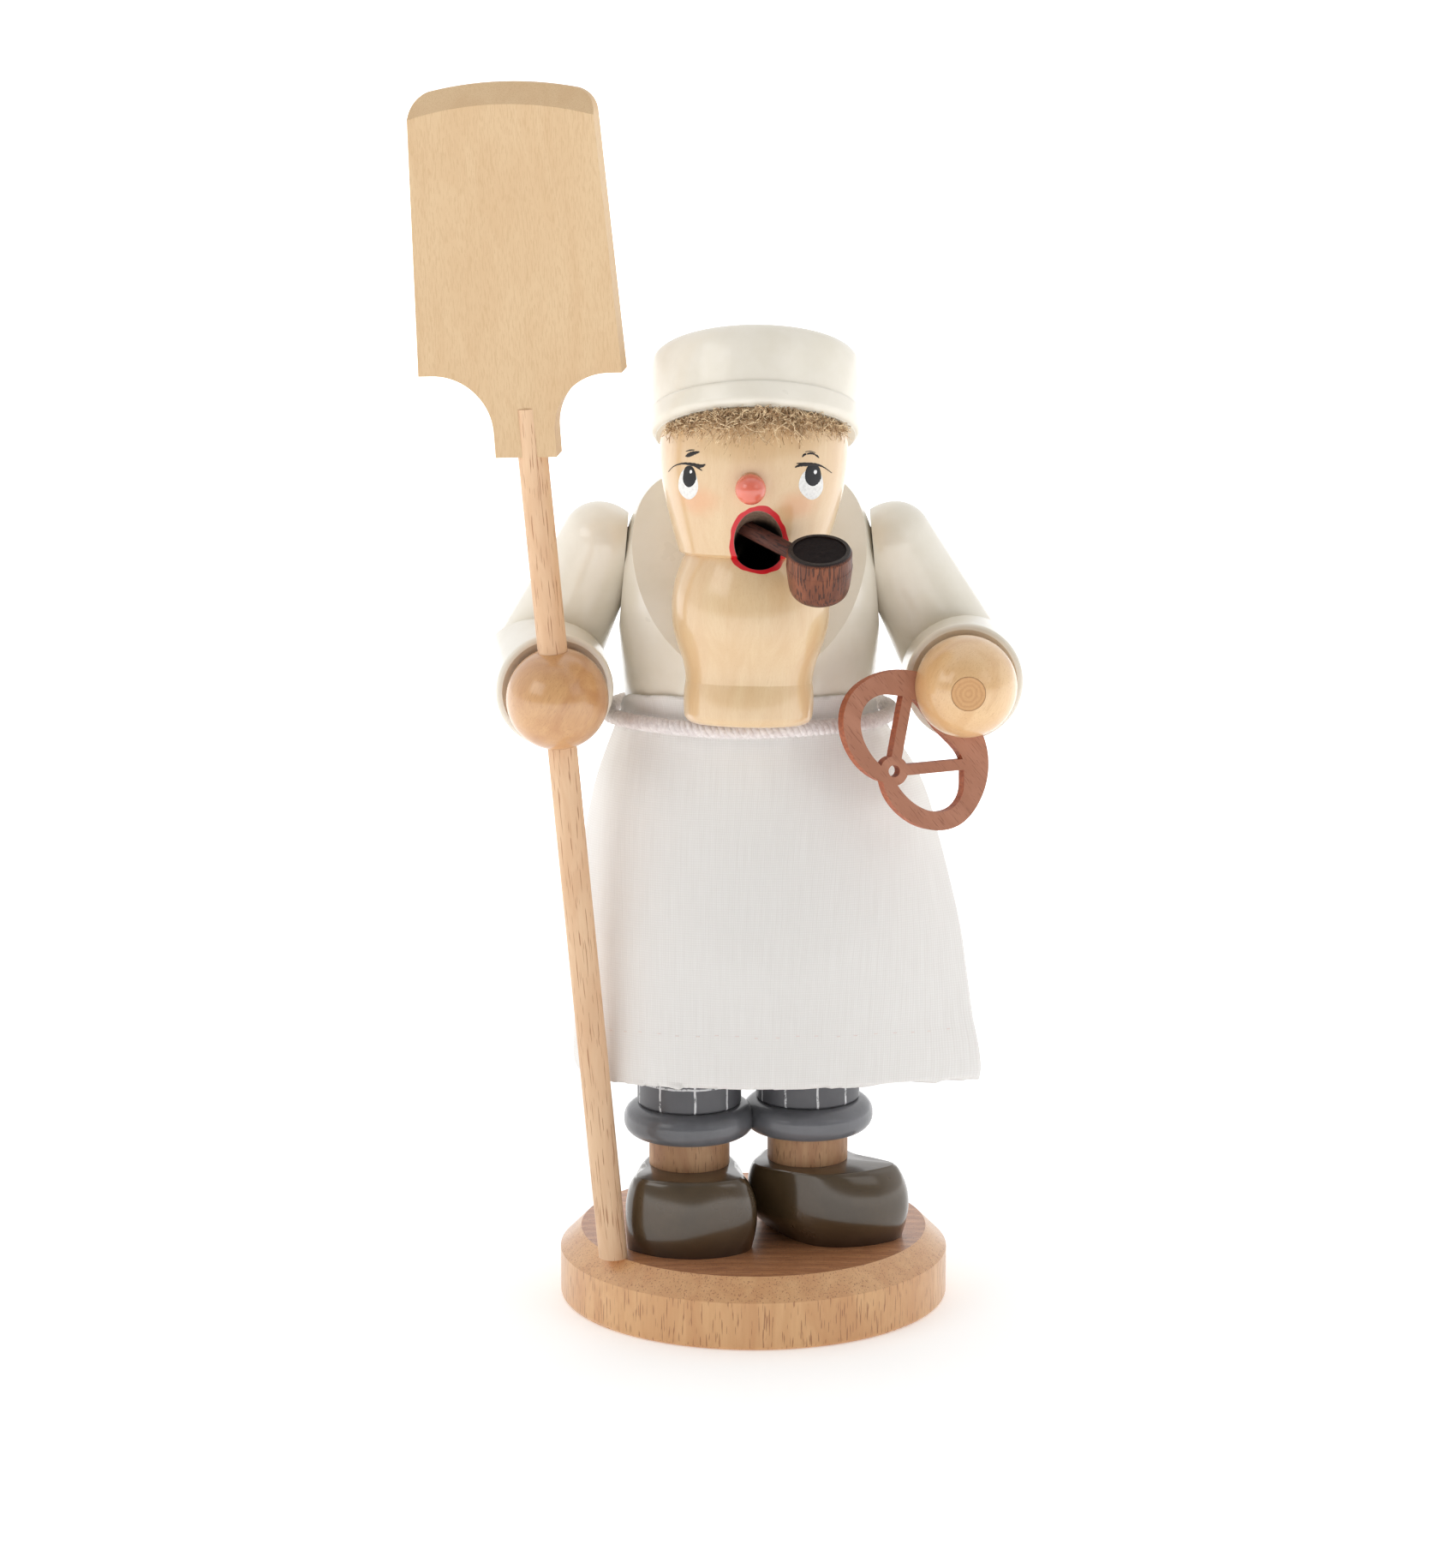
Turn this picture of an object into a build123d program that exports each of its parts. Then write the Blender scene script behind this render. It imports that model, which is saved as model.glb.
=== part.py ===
from build123d import *
import os
from math import cos, radians, sin, sqrt

os.makedirs("parts", exist_ok=True)

# A baker who smokes a pipe: the lower half carries an incense cone, the hollow upper half
# lifts off it, and the smoke leaves through the mouth.
# Millimetres and degrees. The figure faces -Y, and left and right are its own.
# The origin is the centre of the base board's underside.

# Fits
glue_gap = 0.02
peg_gap = 0.05
lift_gap = 0.3
overrun = 4.0

# Base board
base_margin = 11.55
base_height = 12.0
base_bevel = 3.6
base_rounding = 0.8

# Where the figure stands on the board
figure_shift_x = -0.9
figure_shift_y = -6.0
stance_turn = 9.2
foot_spacing = 20.6

# Shoes, measured from the ankle's centre line at their widest height
shoe_height = 13.5
shoe_toe_width = 23.2
shoe_heel_width = 18.6
shoe_toe_reach = 16.4
shoe_toe_crown = 3.2
shoe_heel_reach = 9.9
shoe_corner = 5.6
shoe_top_inset = 2.6
shoe_sole_inset = 1.6
right_shoe_turn = -4.0
left_shoe_turn = 80.0
right_shoe_setback = 2.8
left_shoe_setback = 0.0
shoe_level_shares = (0.0, 0.2, 0.5, 0.8, 1.0)
shoe_sole_inset_shares = (1.0, 0.25, 0.0, 0.0, 0.0)
shoe_top_inset_shares = (0.0, 0.0, 0.0, 0.36, 1.0)

# Ankles, cuffs and trouser legs
ankle_diameter = 13.8
ankle_height = 5.2
peg_diameter = 6.0
peg_depth = 6.5
cuff_diameter = 22.4
cuff_height = 5.6
cuff_rounding = 2.6
leg_diameter = 17.8
leg_length = 28.0
leg_edge_rounding = 0.5

# Trouser seat
hips_height = 33.0
hips_inset = 0.95
hips_crotch_inset = 2.15
hips_rounding = 1.6
spigot_height = 6.0
air_hole_diameter = 4.4
air_hole_spacing = 21.0

# Incense dish and the nail that holds it
dish_diameter = 15.6
dish_thickness = 0.5
dish_rim = 1.4
nail_diameter = 1.4
nail_length = 9.0
nail_head_diameter = 3.4
nail_head_height = 0.7

# Upper body with its smoke chamber
torso_height = 48.8
torso_diameter = 43.9
torso_outline_shares = (
    (0.952, 0.0),
    (0.952, 0.162),
    (0.975, 0.305),
    (1.0, 0.457),
    (0.985, 0.65),
    (0.88, 0.848),
    (0.52, 0.978),
)
chamber_diameter = 27.6
chamber_straight = 19.0
chamber_cone = 15.0
chamber_tip_diameter = 7.0
shoulder_flat_inset = 1.35
shoulder_flat_lean = 5.0
head_seat_height = 46.8
head_seat_lean = 35.3

# Head and beard, one turned piece glued to the slanted seat
beard_out = 3.15
beard_rise = 10.4
head_shift_x = -0.3
head_lean = 7.0
head_roll = 1.2
beard_diameter = 25.9
beard_height = 27.6
beard_foot_rounding = 1.8
beard_foot_shares = ((0.80, 0.0), (0.825, 0.13), (0.805, 0.25))
beard_outline_shares = (
    (0.805, 0.25),
    (0.865, 0.40),
    (0.965, 0.54),
    (1.0, 0.68),
    (0.965, 0.84),
    (0.845, 1.0),
)
head_diameter = 30.8
head_height = 28.0
chin_step = 0.5
head_outline_shares = ((0.775, 0.0), (0.865, 0.17), (0.975, 0.43), (1.0, 0.60), (0.97, 0.82), (0.92, 1.0))
mouth_diameter = 7.9
mouth_height = 139.9
mouth_shift_x = 0.4
mouth_slope = 30.0
nose_diameter = 5.0
nose_height = 148.5
nose_shift_x = -0.9
nose_share = 0.22

# Hat and the fringe of hair under it
hat_lean = 26.5
hat_rim_height = 154.3
hat_rim_in = 2.65
hat_diameter = 34.8
hat_height = 14.8
hat_band_height = 4.1
hat_band_relief = 0.35
hat_rounding = 2.2
hat_crown_rise = 0.9
hair_inset = 0.35
hair_thickness = 1.5
hair_length = 4.4
hair_sweep = 176.0

# Pipe
bowl_centre_x = 10.1
bowl_reach = 8.15
bowl_rim_height = 139.8
bowl_lean = 20.0
bowl_diameter = 10.7
bowl_height = 8.8
bowl_bore_diameter = 8.6
bowl_bore_depth = 0.9
bowl_rim_inset = 0.35
bowl_outline_shares = ((0.58, 0.0), (0.82, 0.10), (0.94, 0.34), (1.0, 0.68), (0.985, 0.93))
stem_diameter = 2.6
stem_bowl_drop = 3.0
stem_inner_x = -3.9
stem_inner_depth = 6.05
stem_inner_height = 141.9

# Arms: shoulder, elbow and wrist points of the figure's two sides
right_shoulder_out = 2.65
left_shoulder_out = 1.85
shoulder_height = 133.9
shoulder_cap = 5.8
shoulder_diameter = 13.8
shoulder_rounding = 6.0
right_elbow_out = 12.65
left_elbow_out = 13.45
elbow_back = 4.4
right_elbow_height = 112.5
left_elbow_height = 111.6
upper_arm_diameter = 17.8
forearm_length = 20.2
forearm_diameter = 19.6
right_forearm_turn = 6.6
left_forearm_turn = 0.6
right_forearm_drop = 4.2
left_forearm_drop = -2.8
sleeve_rounding = 0.6
sleeve_mouth_diameter = 17.6
sleeve_mouth_depth = 2.1
arm_peg_diameter = 4.0
arm_peg_length = 11.0

# Hands
hand_diameter = 17.0
hand_reach = 4.4
wrist_peg_diameter = 5.6
wrist_peg_depth = 5.0
wrist_peg_stop = 3.2

# Peel
pole_diameter = 4.9
pole_foot_margin = 2.95
pole_foot_turn = 38.22
pole_length = 148.9
pole_socket_depth = 8.0
blade_top_width = 30.4
blade_width = 33.9
blade_height = 45.2
blade_thickness = 4.0
blade_neck_width = 10.2
blade_cove = 9.6
blade_neck_height = 4.2
blade_crown = 2.0
blade_corner = 4.0
blade_bevel = 3.0
blade_turn = -11.0
blade_roll = 1.3
blade_shift = -0.65

# Pretzel, laid out from the ring where its ends cross, in, in front of and below the left hand
pretzel_in = 12.26
pretzel_forward = 3.43
pretzel_drop = 13.5
pretzel_roll = 49.0
pretzel_turn = 20.0
pretzel_tip = 9.0
pretzel_width = 29.2
pretzel_height = 20.4
pretzel_thickness = 2.4
pretzel_ring_diameter = 4.9
pretzel_hole_diameter = 2.0
pretzel_strand_width = 1.8
pretzel_kerf_gap = 0.06
pretzel_outline_shares = (
    (0.0, -0.13),
    (0.22, -0.185),
    (0.52, -0.175),
    (0.85, -0.05),
    (1.0, 0.14),
    (0.975, 0.36),
    (0.84, 0.55),
    (0.5, 0.745),
    (0.17, 0.8),
    (0.0, 0.805),
)
pretzel_inner_shares = (
    (0.0, -0.03),
    (0.155, -0.055),
    (0.42, -0.048),
    (0.66, 0.03),
    (0.795, 0.18),
    (0.75, 0.325),
    (0.62, 0.42),
    (0.475, 0.5),
    (0.2, 0.515),
    (0.0, 0.505),
)
pretzel_strand_end_shares = (0.643, 0.6)

# Apron, a bell of linen gathered under a cord at the waist
cord_diameter = 2.2
cord_height = 7.6
cord_lean = 3.6
cord_gap = 0.35
knot_diameter = 4.2
apron_thickness = 0.6
apron_gap = 0.25
apron_top_height = 10.2
apron_top_lean = 10.0
apron_top_gap = 0.6
apron_joint_gap = 0.1
apron_hem_lean = 7.0
apron_hem_depth = 55.8
apron_joint_share = 0.4
apron_waist_angle = 104.0
apron_right_angles = (98.0, 95.0, 92.0, 90.0, 88.0, 86.5)
apron_left_angles = (95.0, 88.0, 83.0, 79.0, 76.0, 74.3)
apron_right_end_shares = (1.17, 1.275, 1.36, 1.382, 1.36, 1.318)
apron_right_joint_shares = (1.06, 1.094, 1.103, 1.103, 1.094, 1.085)
apron_front_shares = (1.027, 1.049, 1.054, 1.045, 1.031, 1.018)
apron_left_joint_shares = (1.076, 1.121, 1.143, 1.152, 1.143, 1.13)
apron_left_end_shares = (1.305, 1.471, 1.601, 1.71, 1.80, 1.865)

# Levels and radii that follow from the sizes
base_top = base_height
shoe_top = base_top + shoe_height
cuff_bottom = shoe_top + ankle_height
leg_bottom = cuff_bottom + cuff_height
hips_bottom = leg_bottom + leg_length
waist = hips_bottom + hips_height
dish_level = waist + spigot_height
torso_radius = torso_diameter / 2
base_radius = torso_radius + base_margin
hips_radius = torso_radius - hips_inset
crotch_radius = torso_radius - hips_crotch_inset
head_radius = head_diameter / 2
forearm_radius = forearm_diameter / 2
hand_radius = hand_diameter / 2
wrist_peg_end = sqrt(hand_radius ** 2 - wrist_peg_diameter ** 2 / 4)
pole_radius = pole_diameter / 2

figure = Plane(origin=(figure_shift_x, figure_shift_y, 0))
stance = figure.rotated((0, 0, stance_turn))
sides = (("right", -1), ("left", 1))


def level(height, frame=figure):
    """The figure's horizontal plane at a height above the table."""
    return frame.offset(height)


def lathe(seat):
    """The sketch plane whose X is the radius and Y the height of a piece turned on a seat."""
    return Plane(origin=seat.origin, x_dir=seat.x_dir, z_dir=-seat.y_dir)


def spindle(seat):
    """The axis that a piece on a seat is turned about."""
    return Axis(seat.origin, seat.z_dir)


def turned_points(shares, radius, height, start=0.0):
    """Outline points of a turned piece from shares of its radius and height."""
    return [(r * radius, start + h * height) for r, h in shares]


# Base board: a turned disc of beech with a wide bevel
with BuildPart() as base_plate:
    with BuildSketch():
        Circle(base_radius)
    extrude(amount=base_height)
    chamfer(base_plate.edges().sort_by(Axis.Z)[-1], base_bevel)
    fillet(base_plate.edges().sort_by(Axis.Z)[0], base_rounding)
base_plate.part.label = "base_plate"
export_step(base_plate.part, "parts/base_plate.step")


def foot_plane(side, height):
    """A horizontal plane on the centre line of one foot."""
    return Plane(origin=stance.from_local_coords(Vector(side * foot_spacing / 2, 0, height)))


def shoe_plane(side, height):
    """A horizontal plane of one shoe, turned to its toe and set back under its ankle."""
    turn = left_shoe_turn if side > 0 else right_shoe_turn
    setback = left_shoe_setback if side > 0 else right_shoe_setback
    turned = foot_plane(side, height).rotated((0, 0, turn))
    return turned.move(Location(turned.y_dir * setback))


def shoe_plan(inset):
    """Half widths and ends of a shoe's plan: toe, heel, front and back."""
    toe = shoe_toe_width / 2 - inset
    heel = shoe_heel_width / 2 - inset
    return toe, heel, inset - shoe_toe_reach, shoe_heel_reach - inset


for side_name, side in sides:
    # Shoe: bulged sides, a flat top with a crisp edge and a socket for the ankle's peg
    with BuildPart() as shoe:
        for i in range(len(shoe_level_shares)):
            rise = shoe_level_shares[i] * shoe_height
            inset = shoe_sole_inset_shares[i] * shoe_sole_inset + shoe_top_inset_shares[i] * shoe_top_inset
            toe, heel, front, back = shoe_plan(inset)
            corner = front + shoe_toe_crown
            with BuildSketch(shoe_plane(side, base_top + rise)):
                with BuildLine():
                    ThreePointArc((-toe, corner), (0, front), (toe, corner))
                    Line((toe, corner), (heel, back - heel))
                    ThreePointArc((heel, back - heel), (0, back), (-heel, back - heel))
                    Line((-heel, back - heel), (-toe, corner))
                make_face()
                fillet(vertices().group_by(Axis.Y)[0], shoe_corner - inset)
        loft()
        with BuildSketch(foot_plane(side, shoe_top)):
            Circle(peg_diameter / 2 + peg_gap)
        extrude(amount=-peg_depth - peg_gap, mode=Mode.SUBTRACT)
    shoe.part.label = f"shoe_{side_name}"
    export_step(shoe.part, f"parts/shoe_{side_name}.step")

    # Ankle: a bare dowel with a peg turned on each end
    with BuildPart() as ankle:
        with BuildSketch(foot_plane(side, shoe_top)):
            Circle(ankle_diameter / 2)
        extrude(amount=ankle_height + cuff_height)
        with BuildSketch(foot_plane(side, shoe_top - peg_depth)):
            Circle(peg_diameter / 2)
        extrude(amount=ankle_height + cuff_height + 2 * peg_depth)
    ankle.part.label = f"ankle_{side_name}"
    export_step(ankle.part, f"parts/ankle_{side_name}.step")

    # Trouser cuff: a round ring on the ankle, sanded flat where it meets its neighbour
    with BuildPart() as cuff:
        with BuildSketch(foot_plane(side, cuff_bottom)):
            Circle(cuff_diameter / 2)
            Circle(ankle_diameter / 2 + peg_gap, mode=Mode.SUBTRACT)
        extrude(amount=cuff_height)
        fillet(cuff.edges().filter_by(GeomType.CIRCLE).group_by(SortBy.RADIUS)[-1], cuff_rounding)
        middle = Plane(origin=figure.origin, x_dir=(0, 0, 1), z_dir=side * stance.x_dir)
        middle = middle.offset(glue_gap / 2)
        split(bisect_by=middle, keep=Keep.TOP)
    cuff.part.label = f"trouser_cuff_{side_name}"
    export_step(cuff.part, f"parts/trouser_cuff_{side_name}.step")

    # Trouser leg: drilled for the ankle's peg below and its own peg above
    with BuildPart() as leg:
        with BuildSketch(foot_plane(side, leg_bottom)):
            Circle(leg_diameter / 2)
        extrude(amount=leg_length)
        fillet(leg.edges().sort_by(Axis.Z)[0], leg_edge_rounding)
        with BuildSketch(foot_plane(side, leg_bottom)):
            Circle(peg_diameter / 2 + peg_gap)
        extrude(amount=peg_depth + peg_gap, mode=Mode.SUBTRACT)
        with BuildSketch(foot_plane(side, hips_bottom)):
            Circle(peg_diameter / 2 + peg_gap)
        extrude(amount=-peg_depth - peg_gap, mode=Mode.SUBTRACT)
    leg.part.label = f"trouser_leg_{side_name}"
    export_step(leg.part, f"parts/trouser_leg_{side_name}.step")

# Pegs that hold the legs to the trouser seat
with BuildPart() as leg_pegs:
    with BuildSketch(level(hips_bottom - peg_depth, stance)):
        with GridLocations(foot_spacing, 0, 2, 1):
            Circle(peg_diameter / 2)
    extrude(amount=2 * peg_depth)
leg_pegs.part.label = "leg_pegs"
export_step(leg_pegs.part, "parts/leg_pegs.step")

# Trouser seat: the spigot on top guides the upper body, and air holes feed the cone
spigot_radius = chamber_diameter / 2 - lift_gap
with BuildPart() as lower_body:
    with BuildSketch(level(hips_bottom, stance)):
        Circle(crotch_radius)
    with BuildSketch(level(waist, stance)):
        Circle(hips_radius)
    loft()
    fillet(lower_body.edges().filter_by(GeomType.CIRCLE).sort_by(Axis.Z)[0], hips_rounding)
    with BuildSketch(level(waist, stance)):
        Circle(spigot_radius)
    extrude(amount=spigot_height)
    chamfer(lower_body.edges().filter_by(GeomType.CIRCLE).sort_by(Axis.Z)[-1], lift_gap)
    with BuildSketch(level(hips_bottom, stance)):
        with GridLocations(foot_spacing, 0, 2, 1):
            Circle(peg_diameter / 2 + peg_gap)
    extrude(amount=peg_depth + peg_gap, mode=Mode.SUBTRACT)
    with BuildSketch(level(hips_bottom, stance)):
        with GridLocations(0, air_hole_spacing, 1, 2):
            Circle(air_hole_diameter / 2)
    extrude(amount=hips_height + spigot_height, mode=Mode.SUBTRACT)
    with BuildSketch(level(dish_level, stance)):
        Circle(nail_diameter / 2 + glue_gap)
    extrude(amount=-nail_length, mode=Mode.SUBTRACT)
lower_body.part.label = "lower_body"
export_step(lower_body.part, "parts/lower_body.step")

# Tin dish for the incense cone
with BuildPart() as incense_dish:
    with BuildSketch(level(dish_level, stance)):
        Circle(dish_diameter / 2)
    extrude(amount=dish_rim)
    with BuildSketch(level(dish_level + dish_thickness, stance)):
        Circle(dish_diameter / 2 - dish_thickness)
    extrude(amount=dish_rim, mode=Mode.SUBTRACT)
    with BuildSketch(level(dish_level, stance)):
        Circle(nail_diameter / 2 + glue_gap)
    extrude(amount=dish_thickness, mode=Mode.SUBTRACT)
incense_dish.part.label = "incense_dish"
export_step(incense_dish.part, "parts/incense_dish.step")

# Nail through the dish
with BuildPart() as dish_nail:
    with BuildSketch(level(dish_level + dish_thickness, stance)):
        Circle(nail_head_diameter / 2)
    extrude(amount=nail_head_height)
    with BuildSketch(level(dish_level + dish_thickness, stance)):
        Circle(nail_diameter / 2)
    extrude(amount=-nail_length)
dish_nail.part.label = "dish_nail"
export_step(dish_nail.part, "parts/dish_nail.step")

# Frames of the upper half
torso_seat = level(waist)
head_seat = Plane(
    origin=figure.from_local_coords(Vector(0, 0, waist + head_seat_height)),
    x_dir=(1, 0, 0),
    z_dir=Vector(0, -cos(radians(head_seat_lean)), sin(radians(head_seat_lean))),
)
head_frame = Plane(
    origin=figure.from_local_coords(Vector(head_shift_x, -torso_radius - beard_out, waist + beard_rise)),
    x_dir=Vector(1, 0, 0).rotate(Axis.Y, head_roll),
    z_dir=Vector(0, 0, 1).rotate(Axis.X, -head_lean).rotate(Axis.Y, head_roll),
)
hat_seat = Plane(
    origin=figure.from_local_coords(Vector(-figure_shift_x, hat_rim_in - torso_radius, hat_rim_height)),
    x_dir=(1, 0, 0),
    z_dir=Vector(0, 0, 1).rotate(Axis.X, -hat_lean),
)


def radius_at(shares, radius, height, rise):
    """Radius of a turned outline at a rise above its foot, straight between its points."""
    for (low_radius, low), (high_radius, high) in zip(shares, shares[1:]):
        if low * height <= rise <= high * height:
            part_way = (rise / height - low) / (high - low)
            return radius * (low_radius + part_way * (high_radius - low_radius))
    return radius * shares[-1][0]


def head_front(height):
    """Depth of the head's front surface at a height, along the middle of the face."""
    along = (height - head_frame.origin.Z) / head_frame.z_dir.Z
    radius = radius_at(head_outline_shares, head_radius, head_height, along - beard_height - chin_step)
    return head_frame.origin.Y + along * head_frame.z_dir.Y - radius


mouth = Plane(
    origin=(mouth_shift_x, head_front(mouth_height), mouth_height),
    x_dir=(1, 0, 0),
    z_dir=Vector(0, cos(radians(mouth_slope)), -sin(radians(mouth_slope))),
)
smoke_run = (figure_shift_y - mouth.origin.Y) / mouth.z_dir.Y


def arm_flat(side):
    """The sanded flat where an arm is glued to the upper body."""
    spread = side * (torso_radius - shoulder_flat_inset)
    origin = figure.from_local_coords(Vector(spread, 0, shoulder_height))
    outward = Vector(side, 0, 0).rotate(Axis.Y, -side * shoulder_flat_lean)
    return Plane(origin=origin, x_dir=(0, 1, 0), z_dir=outward)


# Upper body: hollow, open below, with a slanted seat for the head and two flats for the arms
with BuildPart() as upper_body:
    with BuildSketch(lathe(torso_seat)):
        with BuildLine():
            outline = turned_points(torso_outline_shares, torso_radius, torso_height)
            Line((0, 0), outline[0])
            Spline(outline, tangents=[(0, 1), (-1, 0.12)])
            Line(outline[-1], (0, torso_height))
            Line((0, torso_height), (0, 0))
        make_face()
    revolve(axis=spindle(torso_seat))
    split(bisect_by=head_seat, keep=Keep.BOTTOM)
    for _, side in sides:
        split(bisect_by=arm_flat(side), keep=Keep.BOTTOM)
    with BuildSketch(lathe(torso_seat)):
        with BuildLine():
            Polyline(
                (0, 0),
                (chamber_diameter / 2, 0),
                (chamber_diameter / 2, chamber_straight),
                (chamber_tip_diameter / 2, chamber_straight + chamber_cone),
                (0, chamber_straight + chamber_cone),
                close=True,
            )
        make_face()
    revolve(axis=spindle(torso_seat), mode=Mode.SUBTRACT)
    with BuildSketch(mouth):
        Circle(mouth_diameter / 2)
    extrude(amount=smoke_run, mode=Mode.SUBTRACT)
    for _, side in sides:
        with BuildSketch(arm_flat(side)):
            Circle(arm_peg_diameter / 2 + peg_gap)
        extrude(amount=-arm_peg_length / 2 - peg_gap, mode=Mode.SUBTRACT)
upper_body.part.label = "upper_body"
export_step(upper_body.part, "parts/upper_body.step")

# Pipe stem: a thin dowel from the wall of the mouth to the bowl
stem_inner = Vector(stem_inner_x, mouth.origin.Y + stem_inner_depth, stem_inner_height)
bowl_up = Vector(0, 0, 1).rotate(Axis.X, bowl_lean)
bowl_rim = Vector(bowl_centre_x, mouth.origin.Y - bowl_reach, bowl_rim_height)
stem_target = bowl_rim - bowl_up * stem_bowl_drop
stem_axis = (stem_target - stem_inner).normalized()
stem_seat = Plane(origin=stem_inner, z_dir=stem_axis)
bowl_seat = Plane(origin=bowl_rim - bowl_up * bowl_height, x_dir=(1, 0, 0), z_dir=bowl_up)
stem_reach = (stem_target - stem_inner).length - bowl_diameter / 4

with BuildPart() as pipe_stem:
    with BuildSketch(stem_seat):
        Circle(stem_diameter / 2)
    extrude(amount=stem_reach)
pipe_stem.part.label = "pipe_stem"
export_step(pipe_stem.part, "parts/pipe_stem.step")

# Head and beard: turned in one piece, cut to the seat and to the hat, bored for the smoke
nose_centre = Vector(nose_shift_x, head_front(nose_height) - nose_diameter * nose_share, nose_height)
foot_points = turned_points(beard_foot_shares, beard_diameter / 2, beard_height)
beard_points = turned_points(beard_outline_shares, beard_diameter / 2, beard_height)
head_points = turned_points(head_outline_shares, head_radius, head_height, beard_height + chin_step)
with BuildPart() as head:
    with BuildSketch(lathe(head_frame)):
        with BuildLine():
            Line((0, 0), foot_points[0])
            ThreePointArc(*foot_points)
            Spline(beard_points)
            Line(beard_points[-1], head_points[0])
            Spline(head_points)
            Line(head_points[-1], (0, head_points[-1][1]))
            Line((0, head_points[-1][1]), (0, 0))
        make_face()
        fillet(vertices().sort_by_distance(foot_points[0])[0], beard_foot_rounding)
    revolve(axis=spindle(head_frame))
    split(bisect_by=head_seat, keep=Keep.TOP)
    split(bisect_by=hat_seat, keep=Keep.BOTTOM)
    with BuildSketch(mouth.offset(-overrun)):
        Circle(mouth_diameter / 2)
    extrude(amount=smoke_run + overrun, mode=Mode.SUBTRACT)
    with BuildSketch(stem_seat.offset(-peg_gap)):
        Circle(stem_diameter / 2 + peg_gap)
    extrude(amount=stem_reach, mode=Mode.SUBTRACT)
    with Locations(nose_centre):
        Sphere(nose_diameter / 2 + glue_gap, mode=Mode.SUBTRACT)
head.part.label = "head"
export_step(head.part, "parts/head.step")

# Nose: a small ball set into a dimple
with BuildPart() as nose:
    with Locations(nose_centre):
        Sphere(nose_diameter / 2)
nose.part.label = "nose"
export_step(nose.part, "parts/nose.step")

# Hat: a baker's cap with a plain band, leaned back on the cut head
hat_radius = hat_diameter / 2
crown_radius = hat_radius - hat_band_relief
with BuildPart() as hat:
    with BuildSketch(lathe(hat_seat)):
        with BuildLine():
            crown_middle = (hat_band_height + hat_height) / 2
            dome_radius = (crown_radius ** 2 / hat_crown_rise + hat_crown_rise) / 2
            dome_centre = hat_height + hat_crown_rise - dome_radius
            dome_middle = dome_centre + sqrt(dome_radius ** 2 - crown_radius ** 2 / 4)
            band_top = (hat_radius, hat_band_height)
            crown_foot = (crown_radius, hat_band_height)
            crown_edge = (crown_radius, hat_height)
            dome_top = (0, hat_height + hat_crown_rise)
            Polyline((0, 0), (hat_radius, 0), band_top, crown_foot)
            ThreePointArc(crown_foot, (hat_radius, crown_middle), crown_edge)
            ThreePointArc(crown_edge, (crown_radius / 2, dome_middle), dome_top)
            Line(dome_top, (0, 0))
        make_face()
        fillet(vertices().sort_by_distance(crown_edge)[0], hat_rounding)
    revolve(axis=spindle(hat_seat))
hat.part.label = "hat"
export_step(hat.part, "parts/hat.step")

# Hair: a fringe of fibre glued round the forehead under the hat
hair_radius = hat_radius - hair_inset
with BuildPart() as hair:
    with BuildSketch(lathe(hat_seat.rotated((0, 0, -90 - hair_sweep / 2)))):
        with BuildLine():
            Polyline(
                (hair_radius - 3 * hair_thickness, 0),
                (hair_radius, 0),
                (hair_radius - hair_thickness / 2, -hair_length),
                (hair_radius - 3 * hair_thickness, -hair_length),
                close=True,
            )
        make_face()
    revolve(axis=spindle(hat_seat), revolution_arc=hair_sweep)
    add(head.part, mode=Mode.SUBTRACT)
hair.part.label = "hair"
export_step(hair.part, "parts/hair.step")

# Pipe bowl: turned, bored for the tobacco and drilled for the stem
with BuildPart() as pipe_bowl:
    with BuildSketch(lathe(bowl_seat)):
        with BuildLine():
            wall = turned_points(bowl_outline_shares, bowl_diameter / 2, bowl_height)
            Line((0, 0), wall[0])
            Spline(wall, tangents=[(1, 0.25), (0, 1)])
            Line(wall[-1], (wall[-1][0] - bowl_rim_inset, bowl_height))
            Line((wall[-1][0] - bowl_rim_inset, bowl_height), (0, bowl_height))
            Line((0, bowl_height), (0, 0))
        make_face()
    revolve(axis=spindle(bowl_seat))
    with BuildSketch(bowl_seat.offset(bowl_height)):
        Circle(bowl_bore_diameter / 2)
    extrude(amount=-bowl_bore_depth, mode=Mode.SUBTRACT)
    with BuildSketch(stem_seat):
        Circle(stem_diameter / 2 + glue_gap)
    extrude(amount=stem_reach + glue_gap, mode=Mode.SUBTRACT)
pipe_bowl.part.label = "pipe_bowl"
export_step(pipe_bowl.part, "parts/pipe_bowl.step")


def arm_points(side):
    """Shoulder, elbow, wrist and hand centres of one arm."""
    shoulder_spread = torso_radius + (left_shoulder_out if side > 0 else right_shoulder_out)
    elbow_spread = torso_radius + (left_elbow_out if side > 0 else right_elbow_out)
    elbow_height = left_elbow_height if side > 0 else right_elbow_height
    turn = left_forearm_turn if side > 0 else right_forearm_turn
    drop = left_forearm_drop if side > 0 else right_forearm_drop
    shoulder = figure.from_local_coords(Vector(side * shoulder_spread, 0, shoulder_height))
    elbow = figure.from_local_coords(Vector(side * elbow_spread, elbow_back, elbow_height))
    forward = Vector(0, -1, 0).rotate(Axis.X, drop).rotate(Axis.Z, turn)
    wrist = elbow + forward * forearm_length
    return shoulder, elbow, wrist, wrist + forward * hand_reach


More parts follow.
